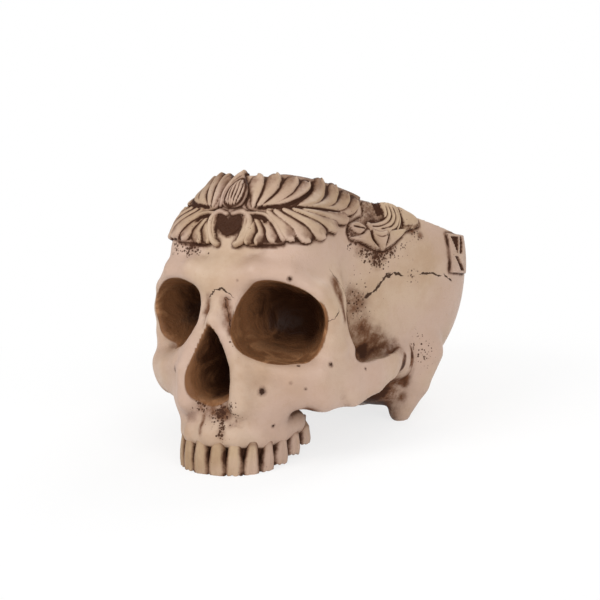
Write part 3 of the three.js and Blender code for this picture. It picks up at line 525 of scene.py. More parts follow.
def socket_paint(points, buried):
    """Where the eye sockets and the nose are lined with brown, and the painted shade on that lining: darker
    deep down, in the nose and high up.
    """
    lined, dim = np.zeros(len(points)), np.zeros(len(points))
    for form in SOCKETS:
        mouth = millimetres(form["mouth"])
        far = (points - mouth) @ unit(millimetres(form["end"]) - mouth) / (form["depth"] * FACE_WIDTH)
        high = (points[:, 2] - mouth[2]) / (form["reach"][1] * FACE_WIDTH)
        inner = np.maximum(smooth_step(buried, *SOCKET_RIM), smooth_step(far, 0, SOCKET_MOUTH))
        lining = smooth_step(-np.abs(socket(form)[0](*points.T)), *SOCKET_WALL) * inner
        dimness = far + form["dimmer"] + SOCKET_SHADE * np.clip(high, -1, 1)
        lined = np.maximum(lined, lining)
        dim = np.maximum(dim, lining * np.clip(dimness, 0, 1))
    return lined, dim


def both_sides(spots):
    return spots + [(np.multiply(place, (-1, 1, 1)), reach, strength) for place, reach, strength in spots]


def spots_at(points, spots):
    found = np.zeros(len(points))
    for place, reach, strength in spots:
        ends = millimetres(place).reshape(-1, 3)
        away = on_segment(points.T, ends[0], ends[-1])[1] / (reach * FACE_WIDTH)
        found = np.maximum(found, strength * np.exp(-away ** 2))
    return found


def pits_at(points):
    """The distance from the nearest pit, in its radii."""
    away = [length((points - millimetres(place)).T) / (radius * FACE_WIDTH) for place, radius in PITS]
    return np.minimum(np.min(away, axis=0), NO_PIT)


def cracks_at(points, normals):
    """Signed distance across the nearest suture in its half widths, and how near its length runs."""
    across, best = np.full(len(points), CRACK_REACH), np.full(len(points), np.inf)
    for crack, half_width in CRACKS:
        line = millimetres(crack)
        for start, end in zip(line, line[1:]):
            away = on_segment(points.T, start, end)[1]
            side = np.sign(np.einsum("ij,ij->i", np.cross(end - start, points - start), normals))
            across = np.where(away < best, side * np.minimum(away, CRACK_REACH) / half_width, across)
            best = np.minimum(away, best)
    return across, smooth_step(-best, -CRACK_REACH, -CRACK_REACH * CRACK_FULL)


def paint_values(count, **given):
    """The values that the paint reads at a number of points, plain where they aren't given."""
    zero = np.zeros(count)
    plain = dict(broad=zero, spot=zero, stipple=zero, lined=zero, dim=zero, crack_near=zero,
                 pit=zero + NO_PIT, crack=zero + CRACK_REACH)
    return {**plain, **given}


# Sutures that part the bone: front outlines (across, up) and plan outlines (across, back).
CHEEK_FRONT = ((0.3, 0.02), (0.39, -0.4), (0.9, -0.4), (0.9, 0.2), (0.3, 0.2))
CHEEK_PLAN = ((0.26, -1.2), (0.9, -1.2), (0.9, -0.37), (0.55, -0.37), (0.5, -0.54), (0.43, -0.585),
              (0.26, -0.68))
JAW_FRONT = ((-0.135, 0.27), (-0.3, 0.02), (-0.39, -0.4), (-0.39, -0.6), (0.39, -0.6), (0.39, -0.4),
             (0.3, 0.02), (0.135, 0.27))
JAW_PLAN = ((-0.6, -1.2), (0.6, -1.2), (0.6, -0.52), (-0.6, -0.52))
JAW_FOOT_FRONT = ((-0.34, -0.26), (-0.39, -0.6), (0.39, -0.6), (0.34, -0.26))
JAW_FOOT_PLAN = ((-0.6, -1.2), (0.6, -1.2), (0.6, -0.4), (-0.6, -0.4))
NOSE_FRONT = ((-0.06, 0.285), (-0.09, 0.03), (0.09, 0.03), (0.06, 0.285))
NOSE_PLAN = ((-0.2, -1.2), (0.2, -1.2), (0.2, -0.86), (-0.2, -0.86))
BONE_PIECES = [
    ("cranial_bowl", "bone_resin"),
    ("upper_jaw", "jaw_resin"),
    ("left_cheekbone", "cheek_resin"),
    ("right_cheekbone", "cheek_resin"),
    ("nasal_bridge", "cheek_resin"),
]
BONE_CUTS = [  # the piece's number, its outlines and its side
    (1, JAW_FRONT, JAW_PLAN, 1),
    (1, JAW_FOOT_FRONT, JAW_FOOT_PLAN, 1),
    (2, CHEEK_FRONT, CHEEK_PLAN, 1),
    (3, CHEEK_FRONT, CHEEK_PLAN, -1),
    (4, NOSE_FRONT, NOSE_PLAN, 1),
]


def bone_parts(centres):
    """The number of each face's piece. Where outlines overlap, the later cut counts."""
    part = np.zeros(len(centres), int)
    for number, front, plan, side in BONE_CUTS:
        x, y, z = (centres * (side, 1, 1)).T
        part[inside_ring(x, z, millimetres(front)) & inside_ring(x, y, millimetres(plan))] = number
    return part


def bone_values(outer, bone, vertices, normals, carvings):
    fine, broad = hollowness(bone, vertices, normals)
    across, near = cracks_at(vertices, normals)
    buried = -outer.sample(vertices)
    shown = buried < OUTSIDE
    lined, dim = socket_paint(vertices, buried)
    gum = np.interp(vertices[:, 1], *millimetres(GUM_LINE).T)
    below_gum = smooth_step(gum - vertices[:, 2], *GUM_FADE) * (vertices[:, 1] < GUM_BACK * FACE_WIDTH)
    halo = np.max([carving.halo(vertices, side) for carving, side in carvings], axis=0)
    fine = np.maximum(np.clip(fine * FINE_GAIN - FINE_FROM, 0, 1), halo * shown)
    return paint_values(
        len(vertices), fine=np.maximum(fine, GUM_WASH * below_gum), broad=np.clip(broad - BROAD_FROM, 0, 1),
        spot=spots_at(vertices, WASH_AND_SHADE_OWN + both_sides(WASH_AND_SHADE_BOTH)) * shown,
        stipple=spots_at(vertices, STIPPLE_OWN + both_sides(STIPPLE_BOTH)) * shown,
        lined=lined, dim=dim, pit=pits_at(vertices), crack=across, crack_near=near)


def build_bones(outer, bone, carvings, materials):
    vertices, quads = bone.skin()
    normals = bone.slope(vertices, BONE_CELL)
    values = bone_values(outer, bone, vertices, normals, carvings)
    part = bone_parts(vertices[quads].mean(1))
    for number, (name, slot) in enumerate(BONE_PIECES):
        used, faces = np.unique(quads[part == number], return_inverse=True)
        chosen = {key: value[used] for key, value in values.items()}
        make_piece(f"{name}_bone", vertices[used], faces.reshape(-1, 4), normals[used], chosen,
                   materials[slot], [name])


# Teeth of the left half: name, place across and back, width and thickness, gum and biting heights, facing
# in degrees, and how far it has a front tooth's thin edge, from 0 to 1.
TEETH = [
    ("central_incisor", (0.0445, -0.926), (0.082, 0.072), -0.425, -0.59, 4, 1.0),
    ("lateral_incisor", (0.124, -0.905), (0.076, 0.066), -0.428, -0.586, 18, 1.0),
    ("canine", (0.185, -0.854), (0.072, 0.076), -0.428, -0.582, 42, 0.7),
    ("first_premolar", (0.218, -0.782), (0.07, 0.086), -0.422, -0.563, 66, 0.0),
    ("first_molar", (0.238, -0.698), (0.088, 0.092), -0.404, -0.53, 76, 0.0),
    ("second_molar", (0.252, -0.604), (0.09, 0.096), -0.384, -0.49, 82, 0.0),
    ("third_molar", (0.26, -0.51), (0.088, 0.092), -0.36, -0.445, 86, 0.0),
]
TOOTH_ROWS = dict(
    down=(-0.35, -0.05, 0.2, 0.45, 0.7, 0.95, 1.1),
    width=(0.24, 0.38, 0.43, 0.52, 0.57, 0.57, 0.52),
    rear=(0.2, 0.4, 0.43, 0.46, 0.48, 0.44, 0.4),
    front=(0.2, 0.38, 0.42, 0.42, 0.36, 0.26, 0.2),
)
TOOTH_SQUARENESS = 3.0
TOOTH_ROOT = 6.0  # millimetres
TOOTH_SPARE = 2.0  # millimetres of grid above and below
FLUTE_DEPTH, FLUTE_PITCH = 0.07, 2.5  # of the half depth, and half waves in a half width
FLUTE_TOP = 0.2  # how far over the gum they begin, as a share of the crown
CHIP_DEPTH, CHIP_ACROSS, CHIP_THROUGH = 0.7, 1.9, 1.3  # millimetres, then radians per millimetre
EDGE_BLEND, ROOT_BLEND = 1.4, 1.0  # millimetres
NECK_WASH, NECK_FADE = 0.3, 7.0  # at the gum, and how soon it fades down the crown
GAP_WASH, GAP_FADE, GAP_SHARPNESS = 1.15, 0.6, 3  # between two teeth
NOTCH_WASH, NOTCH = 0.5, (0.8, 1.1)  # between two teeth near the biting edge
TOOTH_WASH_LIMIT, TOOTH_BROAD, TOOTH_STIPPLE = 1.2, 0.3, 0.1


def build_tooth(name, place, size, gum, edge, facing, frontness, side, material):
    """A crown on its root, fuller across than through, with its biting edge worn."""
    (across, back), (width, thickness) = millimetres(place), millimetres(size)
    gum, edge, reach = gum * FACE_WIDTH, edge * FACE_WIDTH, max(width, thickness)
    centre = np.array([side * across, back])
    turn = math.radians(facing)
    out = np.array([side * math.sin(turn), -math.cos(turn)])

    def tooth_axes(x, y, z):
        """Across the tooth, through it, and down its crown as a share."""
        x, y = x - centre[0], y - centre[1]
        return x * -out[1] + y * out[0], x * out[0] + y * out[1], (gum - z) / (gum - edge)

    low, high = edge - TOOTH_SPARE, gum + TOOTH_ROOT + TOOTH_SPARE
    grid = Grid((*(centre - reach), low), (*(centre + reach), high), TOOTH_CELL)
    z = grid.axes()[2]
    a, b, down = tooth_axes(*grid.axes())
    wide, rear, front = (np.interp(down, TOOTH_ROWS["down"], TOOTH_ROWS[row])
                         for row in ("width", "rear", "front"))
    half_width, half_depth = width * wide, thickness * ((1 - frontness) * rear + frontness * front)
    wave = np.cos(a / half_width * FLUTE_PITCH * np.pi + across)
    flute = 1 - FLUTE_DEPTH * wave * np.clip(down + FLUTE_TOP, 0, 1)
    power = TOOTH_SQUARENESS
    ring = ((np.abs(a) / half_width) ** power + (np.abs(b) / (half_depth * flute)) ** power) ** (1 / power)
    body = (ring - 1) * np.minimum(half_width, half_depth)
    chips = CHIP_DEPTH * np.sin(a * CHIP_ACROSS + across) * np.sin(b * CHIP_THROUGH + back)
    body = blend_far(body, edge + chips - z, EDGE_BLEND)
    grid.values = blend_far(body, z - gum - TOOTH_ROOT, ROOT_BLEND).astype(np.float32)
    vertices, quads = grid.skin()
    along, _, drop = tooth_axes(*vertices.T)
    beside = np.clip(np.abs(along) / (width * 0.5), 0, 1) ** GAP_SHARPNESS
    gap = GAP_WASH - GAP_FADE * drop + NOTCH_WASH * smooth_step(drop, *NOTCH)
    neck = NECK_WASH * np.exp(-np.maximum(drop, 0) * NECK_FADE)
    fine = np.clip(neck + beside * gap, 0, TOOTH_WASH_LIMIT)
    values = paint_values(len(vertices), fine=fine, broad=TOOTH_BROAD * fine,
                          stipple=np.full(len(vertices), TOOTH_STIPPLE))
    node = f"tooth_{'left' if side > 0 else 'right'}_{name}"
    normals = grid.slope(vertices, TOOTH_CELL)
    make_piece(f"{node}_crown", vertices, quads, normals, values, material, [node])


# Carving. A point is the degrees round from the forehead's middle to the left, and the height as a share of
# FACE_WIDTH. Levels, widths and blurs are millimetres.
MM_PER_DEGREE = 1.1
UNROLLED = (MM_PER_DEGREE, FACE_WIDTH)
CARVE_AXIS = -0.2  # the upright axis that the carving faces away from, as a share back
RELIEF_SEAT = -1.4  # how deep a relief's outer edge sinks into the skull
KEPT_ABOVE = RELIEF_SEAT + 0.05
WALL_SLOPE = 3.5  # how steeply a relief drops outside its edge
LINE_STEPS, OUTLINE_STEPS = 20, 6
FINGER_FULL, FINGER_TIP = 0.75, 0.92  # where along a lobe it is widest, and its end's width to that
DISH_ASIDE, DISH_WIDTH, DISH_STAIN_WIDTH = 0.15, 0.6, 0.5  # in the lobe's radii
DISH_STAIN, LOWERED_SIDE_SHADE, LEE = 0.3, 0.5, (-0.3, 0.9)  # the wash in a dish, and the painted shade down the side that a lean lowers
GROOVE_ENDS, GROOVE_FLOOR = 0.03, 0.15  # how much of its length fades out, and the least level it leaves
HALO_BLUR, HALO_GAIN = 1.0, 1.6
MARCH_START, MARCH_STEPS, MARCH_LIMITS, MARCH_CARE = 100.0, 24, (-6, 12), 0.9  # on the way in to the skull
FACING_STEP = 2.5
BROAD_BLUR, FINE_BLUR = 3.2, 1.1
FINE_WASH, BROAD_WASH, BROAD_SHADE = (1.5, 0.8), (0.35, 0.7), 0.5  # gain, and the most that it gives
EDGE_WASH, EDGE_FALL = 0.8, (-1.4, 0.2)  # where a relief falls off to its edge
LOW_WASH, LOW_TOP, LOW_FALL = 0.35, 2.6, 1.6  # on low ground
RELIEF_WASH_LIMIT, RELIEF_STIPPLE = 1.4, 0.15


def smooth_path(points, count):
    """A smooth curve through points, with a number of steps between each two."""
    padded = np.vstack([2 * points[0] - points[1], points, 2 * points[-1] - points[-2]])
    made = []
    for a, b, c, d in zip(padded, padded[1:], padded[2:], padded[3:]):
        for t in np.arange(count) / count:
            bend, twist = 2 * a - 5 * b + 4 * c - d, 3 * b - a - 3 * c + d
            made.append(0.5 * (2 * b + (c - a) * t + bend * t ** 2 + twist * t ** 3))
    return np.vstack([made, points[-1]])


def blurred(level, reach):
    """The height map averaged over a reach in millimetres."""
    pad = int(3 * reach / RELIEF_CELL)
    wide = np.pad(level, pad, mode="edge")
    waves = [np.fft.fftfreq(n, RELIEF_CELL) for n in wide.shape]
    damp = np.exp(-2 * (np.pi * reach) ** 2 * (waves[0][:, None] ** 2 + waves[1][None] ** 2))
    return np.real(np.fft.ifft2(np.fft.fft2(wide) * damp))[pad:-pad, pad:-pad]


class Carving:
    """A height map over angle and height, in millimetres above the skull."""

    def __init__(self, low, high):
        steps = [max(int((b - a) * scale / RELIEF_CELL), 2) for a, b, scale in zip(low, high, UNROLLED)]
        lines = [np.linspace(a, b, count) for a, b, count in zip(low, high, steps)]
        self.angle, self.height = np.meshgrid(*lines, indexing="ij")
        self.u, self.v = self.angle * MM_PER_DEGREE, self.height * FACE_WIDTH
        self.level = np.full(self.u.shape, RELIEF_SEAT)
        self.dark = np.zeros(self.u.shape)
        self.spared = np.zeros(self.u.shape)  # how much the wash in the clefts is held back

    def line(self, path):
        """A smooth line through a path: the distance from it, the share along it and the side of it."""
        points = np.array(path, float) * UNROLLED
        if len(points) > 2:
            points = smooth_path(points, LINE_STEPS)
        best, share, side = np.full(self.u.shape, np.inf), np.zeros(self.u.shape), np.zeros(self.u.shape)
        for number, (start, end) in enumerate(zip(points, points[1:])):
            t, away = on_segment((self.u, self.v), start, end)
            run = end - start
            turned = np.sign(run[0] * (self.v - start[1]) - run[1] * (self.u - start[0]))
            nearer = away < best
            best = np.where(nearer, away, best)
            share = np.where(nearer, (number + t) / (len(points) - 1), share)
            side = np.where(nearer, turned, side)
        return best, share, side

    def within(self, outline, smooth=True):
        """How far inside an outline each place is, and negative outside, in millimetres."""
        ring = np.array(outline, float) * UNROLLED
        if smooth:
            ring = smooth_path(np.vstack([ring[-1:], ring, ring[:2]]), OUTLINE_STEPS)
            ring = ring[OUTLINE_STEPS:-OUTLINE_STEPS]
        sides = [on_segment((self.u, self.v), a, b)[1] for a, b in zip(ring, np.roll(ring, -1, 0))]
        away = np.min(sides, axis=0)
        return np.where(inside_ring(self.u, self.v, ring), away, -away)

    def bank(self, inward, rise, width):
        """A rounded slope from the edge to its full rise, and a steep wall outside."""
        slope = rise * np.sqrt(1 - (1 - np.clip(inward / width, 0, 1)) ** 2)
        return np.where(inward > 0, slope, np.maximum(inward * WALL_SLOPE, RELIEF_SEAT))

    def finger(self, path, radii, rise, dish=0.0, lean=0.0):
        """A lobe that swells from its root to a round end. A dish hollows it and a lean tips it sideways."""
        away, share, side = self.line(path)
        radius = np.interp(share, (0, FINGER_FULL, 1), (radii[0], radii[1], radii[1] * FINGER_TIP))
        level = self.bank(radius - away, rise * (0.5 + 0.5 * share), radius)
        inside = away < radius
        across = side * away / radius
        hollowed = dish * np.exp(-((across + DISH_ASIDE) / DISH_WIDTH) ** 2) * share
        level = level + np.where(inside, lean * across - hollowed, 0)
        stain = DISH_STAIN * np.exp(-((across + DISH_ASIDE) / DISH_STAIN_WIDTH) ** 2) * share ** 2
        # painted shade: the side that the lean lowers is darkened, on top of the wash in the dish
        stain = (stain + LOWERED_SIDE_SHADE * smooth_step(across, *LEE)) * min(dish, 1)
        self.dark = np.where(inside & (level > self.level), stain, self.dark)
        self.level = np.maximum(self.level, level)

    def plate(self, outline, rise, width, smooth=True):
        """A flat or pillowed lobe within a closed outline."""
        inward = self.within(outline, smooth)
        self.level = np.maximum(self.level, self.bank(inward, rise, width))
        return inward

    def groove(self, path, width, depth, dark):
        away, share, _ = self.line(path)
        ends = np.clip(np.sin(np.pi * np.clip(share, GROOVE_ENDS, 1 - GROOVE_ENDS)) * 3, 0, 1)
        cut = np.exp(-(away / width) ** 2) * ends
        lowered = np.maximum(self.level - depth * cut, GROOVE_FLOOR)
        self.level = np.where(self.level > 0, lowered, self.level)
        self.dark = np.maximum(self.dark, dark * cut)

    def halo(self, points, side):
        """How near the carving's outline the skull's own points lie, from 0 to 1."""
        angle = np.degrees(np.arctan2(points[:, 0] * side, CARVE_AXIS * FACE_WIDTH - points[:, 1]))
        mask = blurred((self.level > KEPT_ABOVE).astype(float), HALO_BLUR)
        lines = (angle, self.angle[:, 0]), (points[:, 2] / FACE_WIDTH, self.height[0])
        places = [(value - line[0]) / (line[1] - line[0]) for value, line in lines]
        near = np.all([(place > 0) & (place < size - 1) for place, size in zip(places, mask.shape)], axis=0)
        row, column = (np.clip(np.round(place), 0, size - 1).astype(int)
                       for place, size in zip(places, mask.shape))
        return np.where(near, np.clip(mask[row, column] * HALO_GAIN, 0, 1), 0)

    def surface(self, outer, side):
        """The points of the skull under the map, and its outward direction there."""
        turn = np.radians(self.angle.ravel() * side)
        zero = np.zeros(turn.size)
        out = np.stack([np.sin(turn), -np.cos(turn), zero], axis=1)
        start = np.stack([zero, zero + CARVE_AXIS * FACE_WIDTH, self.v.ravel()], axis=1)
        reach = np.full(turn.size, MARCH_START)
        for _ in range(MARCH_STEPS):
            reach -= np.clip(outer.sample(start + out * reach[:, None]), *MARCH_LIMITS) * MARCH_CARE
        points = start + out * reach[:, None]
        return points, outer.slope(points, FACING_STEP)

    def wash(self):
        """The paint in the clefts, round the outer edge and on the low ground: fine, then broad."""
        fine, broad = (self.level - blurred(self.level, reach) for reach in (FINE_BLUR, BROAD_BLUR))
        reliefs = (fine, FINE_WASH), (broad, BROAD_WASH)
        cleft = sum(np.clip(-relief * gain, 0, most) for relief, (gain, most) in reliefs)
        low = np.clip((LOW_TOP - self.level) / LOW_FALL, 0, 1) * (self.level > 0)
        washed = cleft + LOW_WASH * low + EDGE_WASH * smooth_step(-self.level, *EDGE_FALL)
        washed = np.clip(washed * (1 - self.spared) + self.dark, 0, RELIEF_WASH_LIMIT)
        return washed, np.clip(-broad * BROAD_SHADE, 0, 1)

    def piece(self, name, outer, side, material, nodes, slot):
        """The carving as a closed body: its relief, and a back sunk in the skull."""
        points, out = self.surface(outer, side)
        kept = self.level > KEPT_ABOVE
        number = np.arange(kept.size).reshape(kept.shape)
        lower, upper = slice(None, -1), slice(1, None)
        corners = [(lower, lower), (upper, lower), (upper, upper), (lower, upper)]
        cells = np.any([kept[corner] for corner in corners], axis=0)
        quads = np.stack([number[corner][cells] for corner in corners], axis=1)[:, ::side]
        used, faces = np.unique(quads, return_inverse=True)
        faces = faces.reshape(-1, 4)
        above = np.arange(len(used))
        below = np.where(kept.ravel()[used], above + len(used), above)
        top = points + out * self.level.ravel()[:, None]
        vertices = np.vstack([top[used], points[used] + out[used] * RELIEF_SEAT])
        live, faces = np.unique(np.vstack([faces, below[faces][:, ::-1]]), return_inverse=True)
        fine, broad = (value.ravel()[np.concatenate([used, used])[live]] for value in self.wash())
        values = paint_values(len(live), fine=fine, broad=broad, stipple=np.full(len(live), RELIEF_STIPPLE))
        make_piece(name, vertices[live], faces.reshape(-1, 4), None, values, material, nodes)


# The crest. A lobe is a path, the radii at its root and tip and its rise. The rest are outlines and lines.
LARGE_LEAF = ((12.2, 0.845), (19, 0.88), (30.5, 0.878), (44.7, 0.863), (61.5, 0.839), (75.3, 0.813),
              (77.5, 0.79), (66.2, 0.731), (56.3, 0.664), (45.5, 0.606), (38.4, 0.571), (31.3, 0.556),
              (25.7, 0.571), (19, 0.66), (7.5, 0.7), (8, 0.78))
UPPER_LOBES = [
    (((9.7, 0.715), (9.4, 0.78), (8.6, 0.83)), (1.5, 3.6), 3.4),
    (((12.2, 0.716), (15.2, 0.782), (16.4, 0.838)), (1.5, 3.9), 3.5),
    (((14.9, 0.714), (21.6, 0.767), (25.7, 0.833)), (1.4, 3.8), 3.4),
    (((17.6, 0.706), (27, 0.757), (33, 0.82)), (1.4, 3.3), 3.3),
    (((30.8, 0.722), (38.2, 0.77), (42, 0.835)), (1.6, 4.0), 3.5),
    (((35.2, 0.72), (46.6, 0.763), (52.4, 0.818)), (1.5, 3.8), 3.4),
    (((39.9, 0.716), (54.6, 0.746), (62, 0.79)), (1.4, 3.5), 3.3),
    (((45.6, 0.708), (60.4, 0.726), (70, 0.766)), (1.3, 3.3), 3.1),
]
LOWER_LOBES = [
    (((18, 0.682), (24.4, 0.627), (27.6, 0.578)), (1.4, 3.1), 3.2),
    (((21.3, 0.688), (29.6, 0.625), (33.3, 0.575)), (1.4, 3.2), 3.3),
    (((24.9, 0.695), (35, 0.64), (39.4, 0.597)), (1.4, 3.4), 3.4),
    (((28.9, 0.7), (41.4, 0.659), (48, 0.637)), (1.4, 3.4), 3.3),
    (((33, 0.704), (47.6, 0.686), (58, 0.686)), (1.4, 3.2), 3.2),
]
MIDRIB = ((12, 0.703), (15.1, 0.704), (24.7, 0.718), (30.8, 0.752), (35.7, 0.798), (37.8, 0.846))
LEAF_SEAM = ((15.1, 0.698), (26, 0.706), (38, 0.708), (54, 0.708))
LEAF_GROWTH = (1.2, 1.25, 1.15)  # of those root radii, tip radii and rises
SMALL_LEAF = ((6.2, 0.666), (10, 0.672), (15.6, 0.67), (21.6, 0.623), (25.9, 0.538), (20.4, 0.524),
              (15.5, 0.524), (12.1, 0.516), (8, 0.53), (6.4, 0.58))
FAN_LOBES = [
    (((8.3, 0.672), (8.5, 0.604), (7.4, 0.558)), (1.1, 2.0), 2.6),
    (((8.7, 0.672), (12, 0.605), (10.4, 0.546)), (1.1, 2.5), 3.0),
    (((11.2, 0.673), (16.3, 0.59), (15.3, 0.546)), (1.1, 2.6), 3.2),
    (((12.9, 0.679), (19.5, 0.61), (21.4, 0.563)), (1.1, 2.9), 3.3),
]
FAN_LIP = ((8, 0.675), (16, 0.668), (21.5, 0.623), (25, 0.556))
FAN_HOLLOWS = [((10.4, 0.662), (15.4, 0.652), (17.6, 0.628)), ((9.6, 0.652), (10.4, 0.625))]
FAN_GROWTH = (1.0, 1.15, 1.0)
FLOWER_BAND = ((1.5, 0.672), (5.9, 0.682), (9.4, 0.65), (9.3, 0.595), (7, 0.545), (4.6, 0.524))
FLOWER_FLAP = ((4.0, 0.525), (7.0, 0.545), (9.2, 0.59), (8.4, 0.63), (6.4, 0.585))
FLOWER_HEART = ((0, 0.564), (-5.2, 0.6), (-6.6, 0.64), (-3.8, 0.668), (0, 0.645), (3.8, 0.668), (6.6, 0.64),
                (5.2, 0.6))
HEART_EDGE, HEART_LEVEL, HEART_ROUGH, HEART_DARK, HEART_UNEVEN = (0.2, 1.6), 0.4, 0.5, 1.3, 0.4
BUD = ((0, 0.698), (4.7, 0.712), (6.3, 0.76), (5.4, 0.81), (1.6, 0.856), (0, 0.882), (-3, 0.866),
       (-5.7, 0.81), (-6.3, 0.76), (-4.7, 0.712))
BUD_SEPAL = ((-6, 0.712), (-6.4, 0.78), (-3.6, 0.845), (0, 0.876))
BUD_BODY = ((0, 0.705), (3.7, 0.722), (4.9, 0.765), (4.2, 0.81), (1.2, 0.842), (-2.6, 0.812), (-4, 0.765),
            (-3.6, 0.722))
BUD_STRIATIONS, BUD_WIDTH = 6, 10  # in so many degrees
BUD_LOW, BUD_TALL, BUD_TIP = 0.69, 0.18, 0.35  # the striations' foot and height, and how far they close up
STRIATION_DEPTH, STRIATION_DARK, BUD_END = 0.9, 0.8, 0.02
BODY_EDGE, BODY_STAIN = 0.3, 0.5  # millimetres from the body's outline: where the striations end, and a stain
ROSETTE_GROUND = ((61, 0.625), (63, 0.582), (72, 0.568), (80, 0.545), (87.7, 0.532), (93, 0.555),
                  (98, 0.592), (104, 0.645), (112, 0.675), (113, 0.71), (110, 0.745), (103, 0.772),
                  (88, 0.78), (78, 0.775), (76, 0.71), (66, 0.67))
ROSETTE_POCKET = ((86, 0.77), (91.5, 0.785), (91.6, 0.72), (87, 0.708))
ROSETTE_CUP = ((77, 0.672), (84, 0.682), (90.5, 0.7), (92, 0.73), (92.4, 0.782), (101.6, 0.775),
               (102.4, 0.71), (100.5, 0.665), (98, 0.64), (92.5, 0.622), (86, 0.618), (79, 0.635))
ROSETTE_FLUTES = [
    ((94.2, 0.785), (93.8, 0.72), (90, 0.69), (84, 0.674), (78, 0.668)),
    ((96.4, 0.785), (96.2, 0.715), (92, 0.675), (85, 0.655), (78.5, 0.654)),
    ((98.6, 0.78), (98.7, 0.71), (95, 0.665), (90, 0.648), (86, 0.64)),
    ((100.6, 0.775), (100.8, 0.705), (97.6, 0.655), (93, 0.636)),
]
# Outline, rise and width of the slope.
ROSETTE_PETALS = [
    (((62.6, 0.592), (68, 0.604), (73, 0.616), (78, 0.64), (80, 0.595), (84, 0.562), (86.5, 0.54),
        (80, 0.554), (72, 0.574), (66, 0.58)), 2.7, 1.3),
    (((89, 0.55), (91.5, 0.6), (92.5, 0.64), (98, 0.652), (103.6, 0.655), (101, 0.622), (97.7, 0.598),
        (93, 0.566)), 2.7, 1.3),
    (((62, 0.652), (66, 0.671), (71, 0.672), (76.5, 0.646), (73, 0.618), (69.5, 0.609),
        (65, 0.622)), 2.6, 1.8),
    (((103.4, 0.768), (108, 0.755), (111.5, 0.733), (112.6, 0.705), (111, 0.682), (106, 0.674),
        (103.6, 0.678)), 2.4, 2.2),
    (((77.2, 0.662), (82, 0.65), (88, 0.648), (93, 0.656), (91.8, 0.612), (90.2, 0.575), (87.7, 0.536),
        (84, 0.56), (80, 0.597)), 3.9, 2.4),
]
ROSETTE_FOLDS = [((79, 0.642), (85, 0.628), (91.8, 0.642)), ((80.2, 0.616), (85.8, 0.604), (91, 0.618))]
ROSETTE_SEAMS = [
    ((102.7, 0.775), (102.9, 0.72), (102.7, 0.665)),
    ((90.9, 0.64), (90.2, 0.6), (88.6, 0.562)),
    ((64, 0.648), (70, 0.644), (75.5, 0.64)),
    ((79, 0.64), (81, 0.59), (85, 0.556)),
]
GROUND_ROUGH, GROUND_LEAST, GROUND_DARK, GROUND_UNEVEN, GROUND_SPARED = 0.35, 0.3, 0.32, 0.3, 0.75
POCKET_EDGE, POCKET_DARK = (-0.5, 1.0), 1.2
PETAL_STEP, PETAL_CLEAN, PETAL_SPARED = 0.4, 0.7, 0.2  # how raised a petal is, and the dark that it sheds
PLAQUE = ((125.5, 0.45), (136, 0.45), (136, 0.66), (125.5, 0.66))
# In shares of the plaque's width and height.
PLAQUE_CUTS = [
    ((0.12, 0.92), (0.5, 0.92), (0.34, 0.5)),
    ((0.62, 0.94), (0.78, 0.94), (0.62, 0.5), (0.46, 0.5)),
    ((0.2, 0.42), (0.36, 0.42), (0.74, 0.08), (0.52, 0.08)),
]
CUT_EDGE, CUT_DEPTH, CUT_DARK = (-0.2, 0.4), 1.5, 0.7
WAVES = ((2.3, 1.9, 1.1), (2.9, 1.7, 1.3))  # pitch, bend and the bend's own pitch, per millimetre


def rough(carving, height):
    """An uneven surface, made of crossing waves."""
    ways = (carving.u, carving.v), (carving.v, carving.u)
    first, second = (np.sin(pitch * along + bend * np.sin(turn * across))
                     for (along, across), (pitch, bend, turn) in zip(ways, WAVES))
    return height * first * second


def lobes(leaf, fingers, growth, dish, lean):
    """A row of lobes, laid so that the first one overlaps the next."""
    for path, (root, tip), rise in fingers[::-1]:
        leaf.finger(path, (root * growth[0], tip * growth[1]), rise * growth[2], dish, lean)


def large_leaf():
    leaf = Carving(low=(3, 0.53), high=(81, 0.91))
    leaf.plate(LARGE_LEAF, rise=1.1, width=1.2)
    for fingers in (LOWER_LOBES, UPPER_LOBES):
        lobes(leaf, fingers, LEAF_GROWTH, dish=1.2, lean=-0.9)
    leaf.groove(MIDRIB, width=0.5, depth=2.0, dark=0.8)
    leaf.groove(LEAF_SEAM, width=0.4, depth=1.2, dark=0.5)
    return leaf


def small_leaf():
    leaf = Carving(low=(3.5, 0.5), high=(29, 0.7))
    leaf.plate(SMALL_LEAF, rise=0.9, width=1.0)
    lobes(leaf, FAN_LOBES, FAN_GROWTH, dish=0.9, lean=-0.8)
    leaf.finger(FAN_LIP, (1.2, 1.5), rise=3.2)
    for hollow in FAN_HOLLOWS:
        leaf.groove(hollow, width=0.9, depth=1.8, dark=1.0)
    return leaf


def flower():
    made = Carving(low=(-13, 0.5), high=(13, 0.71))
    heart = made.plate(FLOWER_HEART, rise=0.5, width=0.8)
    for side in (1, -1):
        made.finger([(side * angle, height) for angle, height in FLOWER_BAND], (1.3, 1.9), rise=3.0)
    made.plate(FLOWER_FLAP, rise=3.0, width=1.8)
    recess = smooth_step(heart, *HEART_EDGE)
    sunk = made.level * (1 - recess) + (HEART_LEVEL + rough(made, HEART_ROUGH)) * recess
    made.level = np.where(made.level > 0, sunk, made.level)
    made.dark = np.maximum(made.dark, recess * (HEART_DARK + rough(made, HEART_UNEVEN)))
    return made


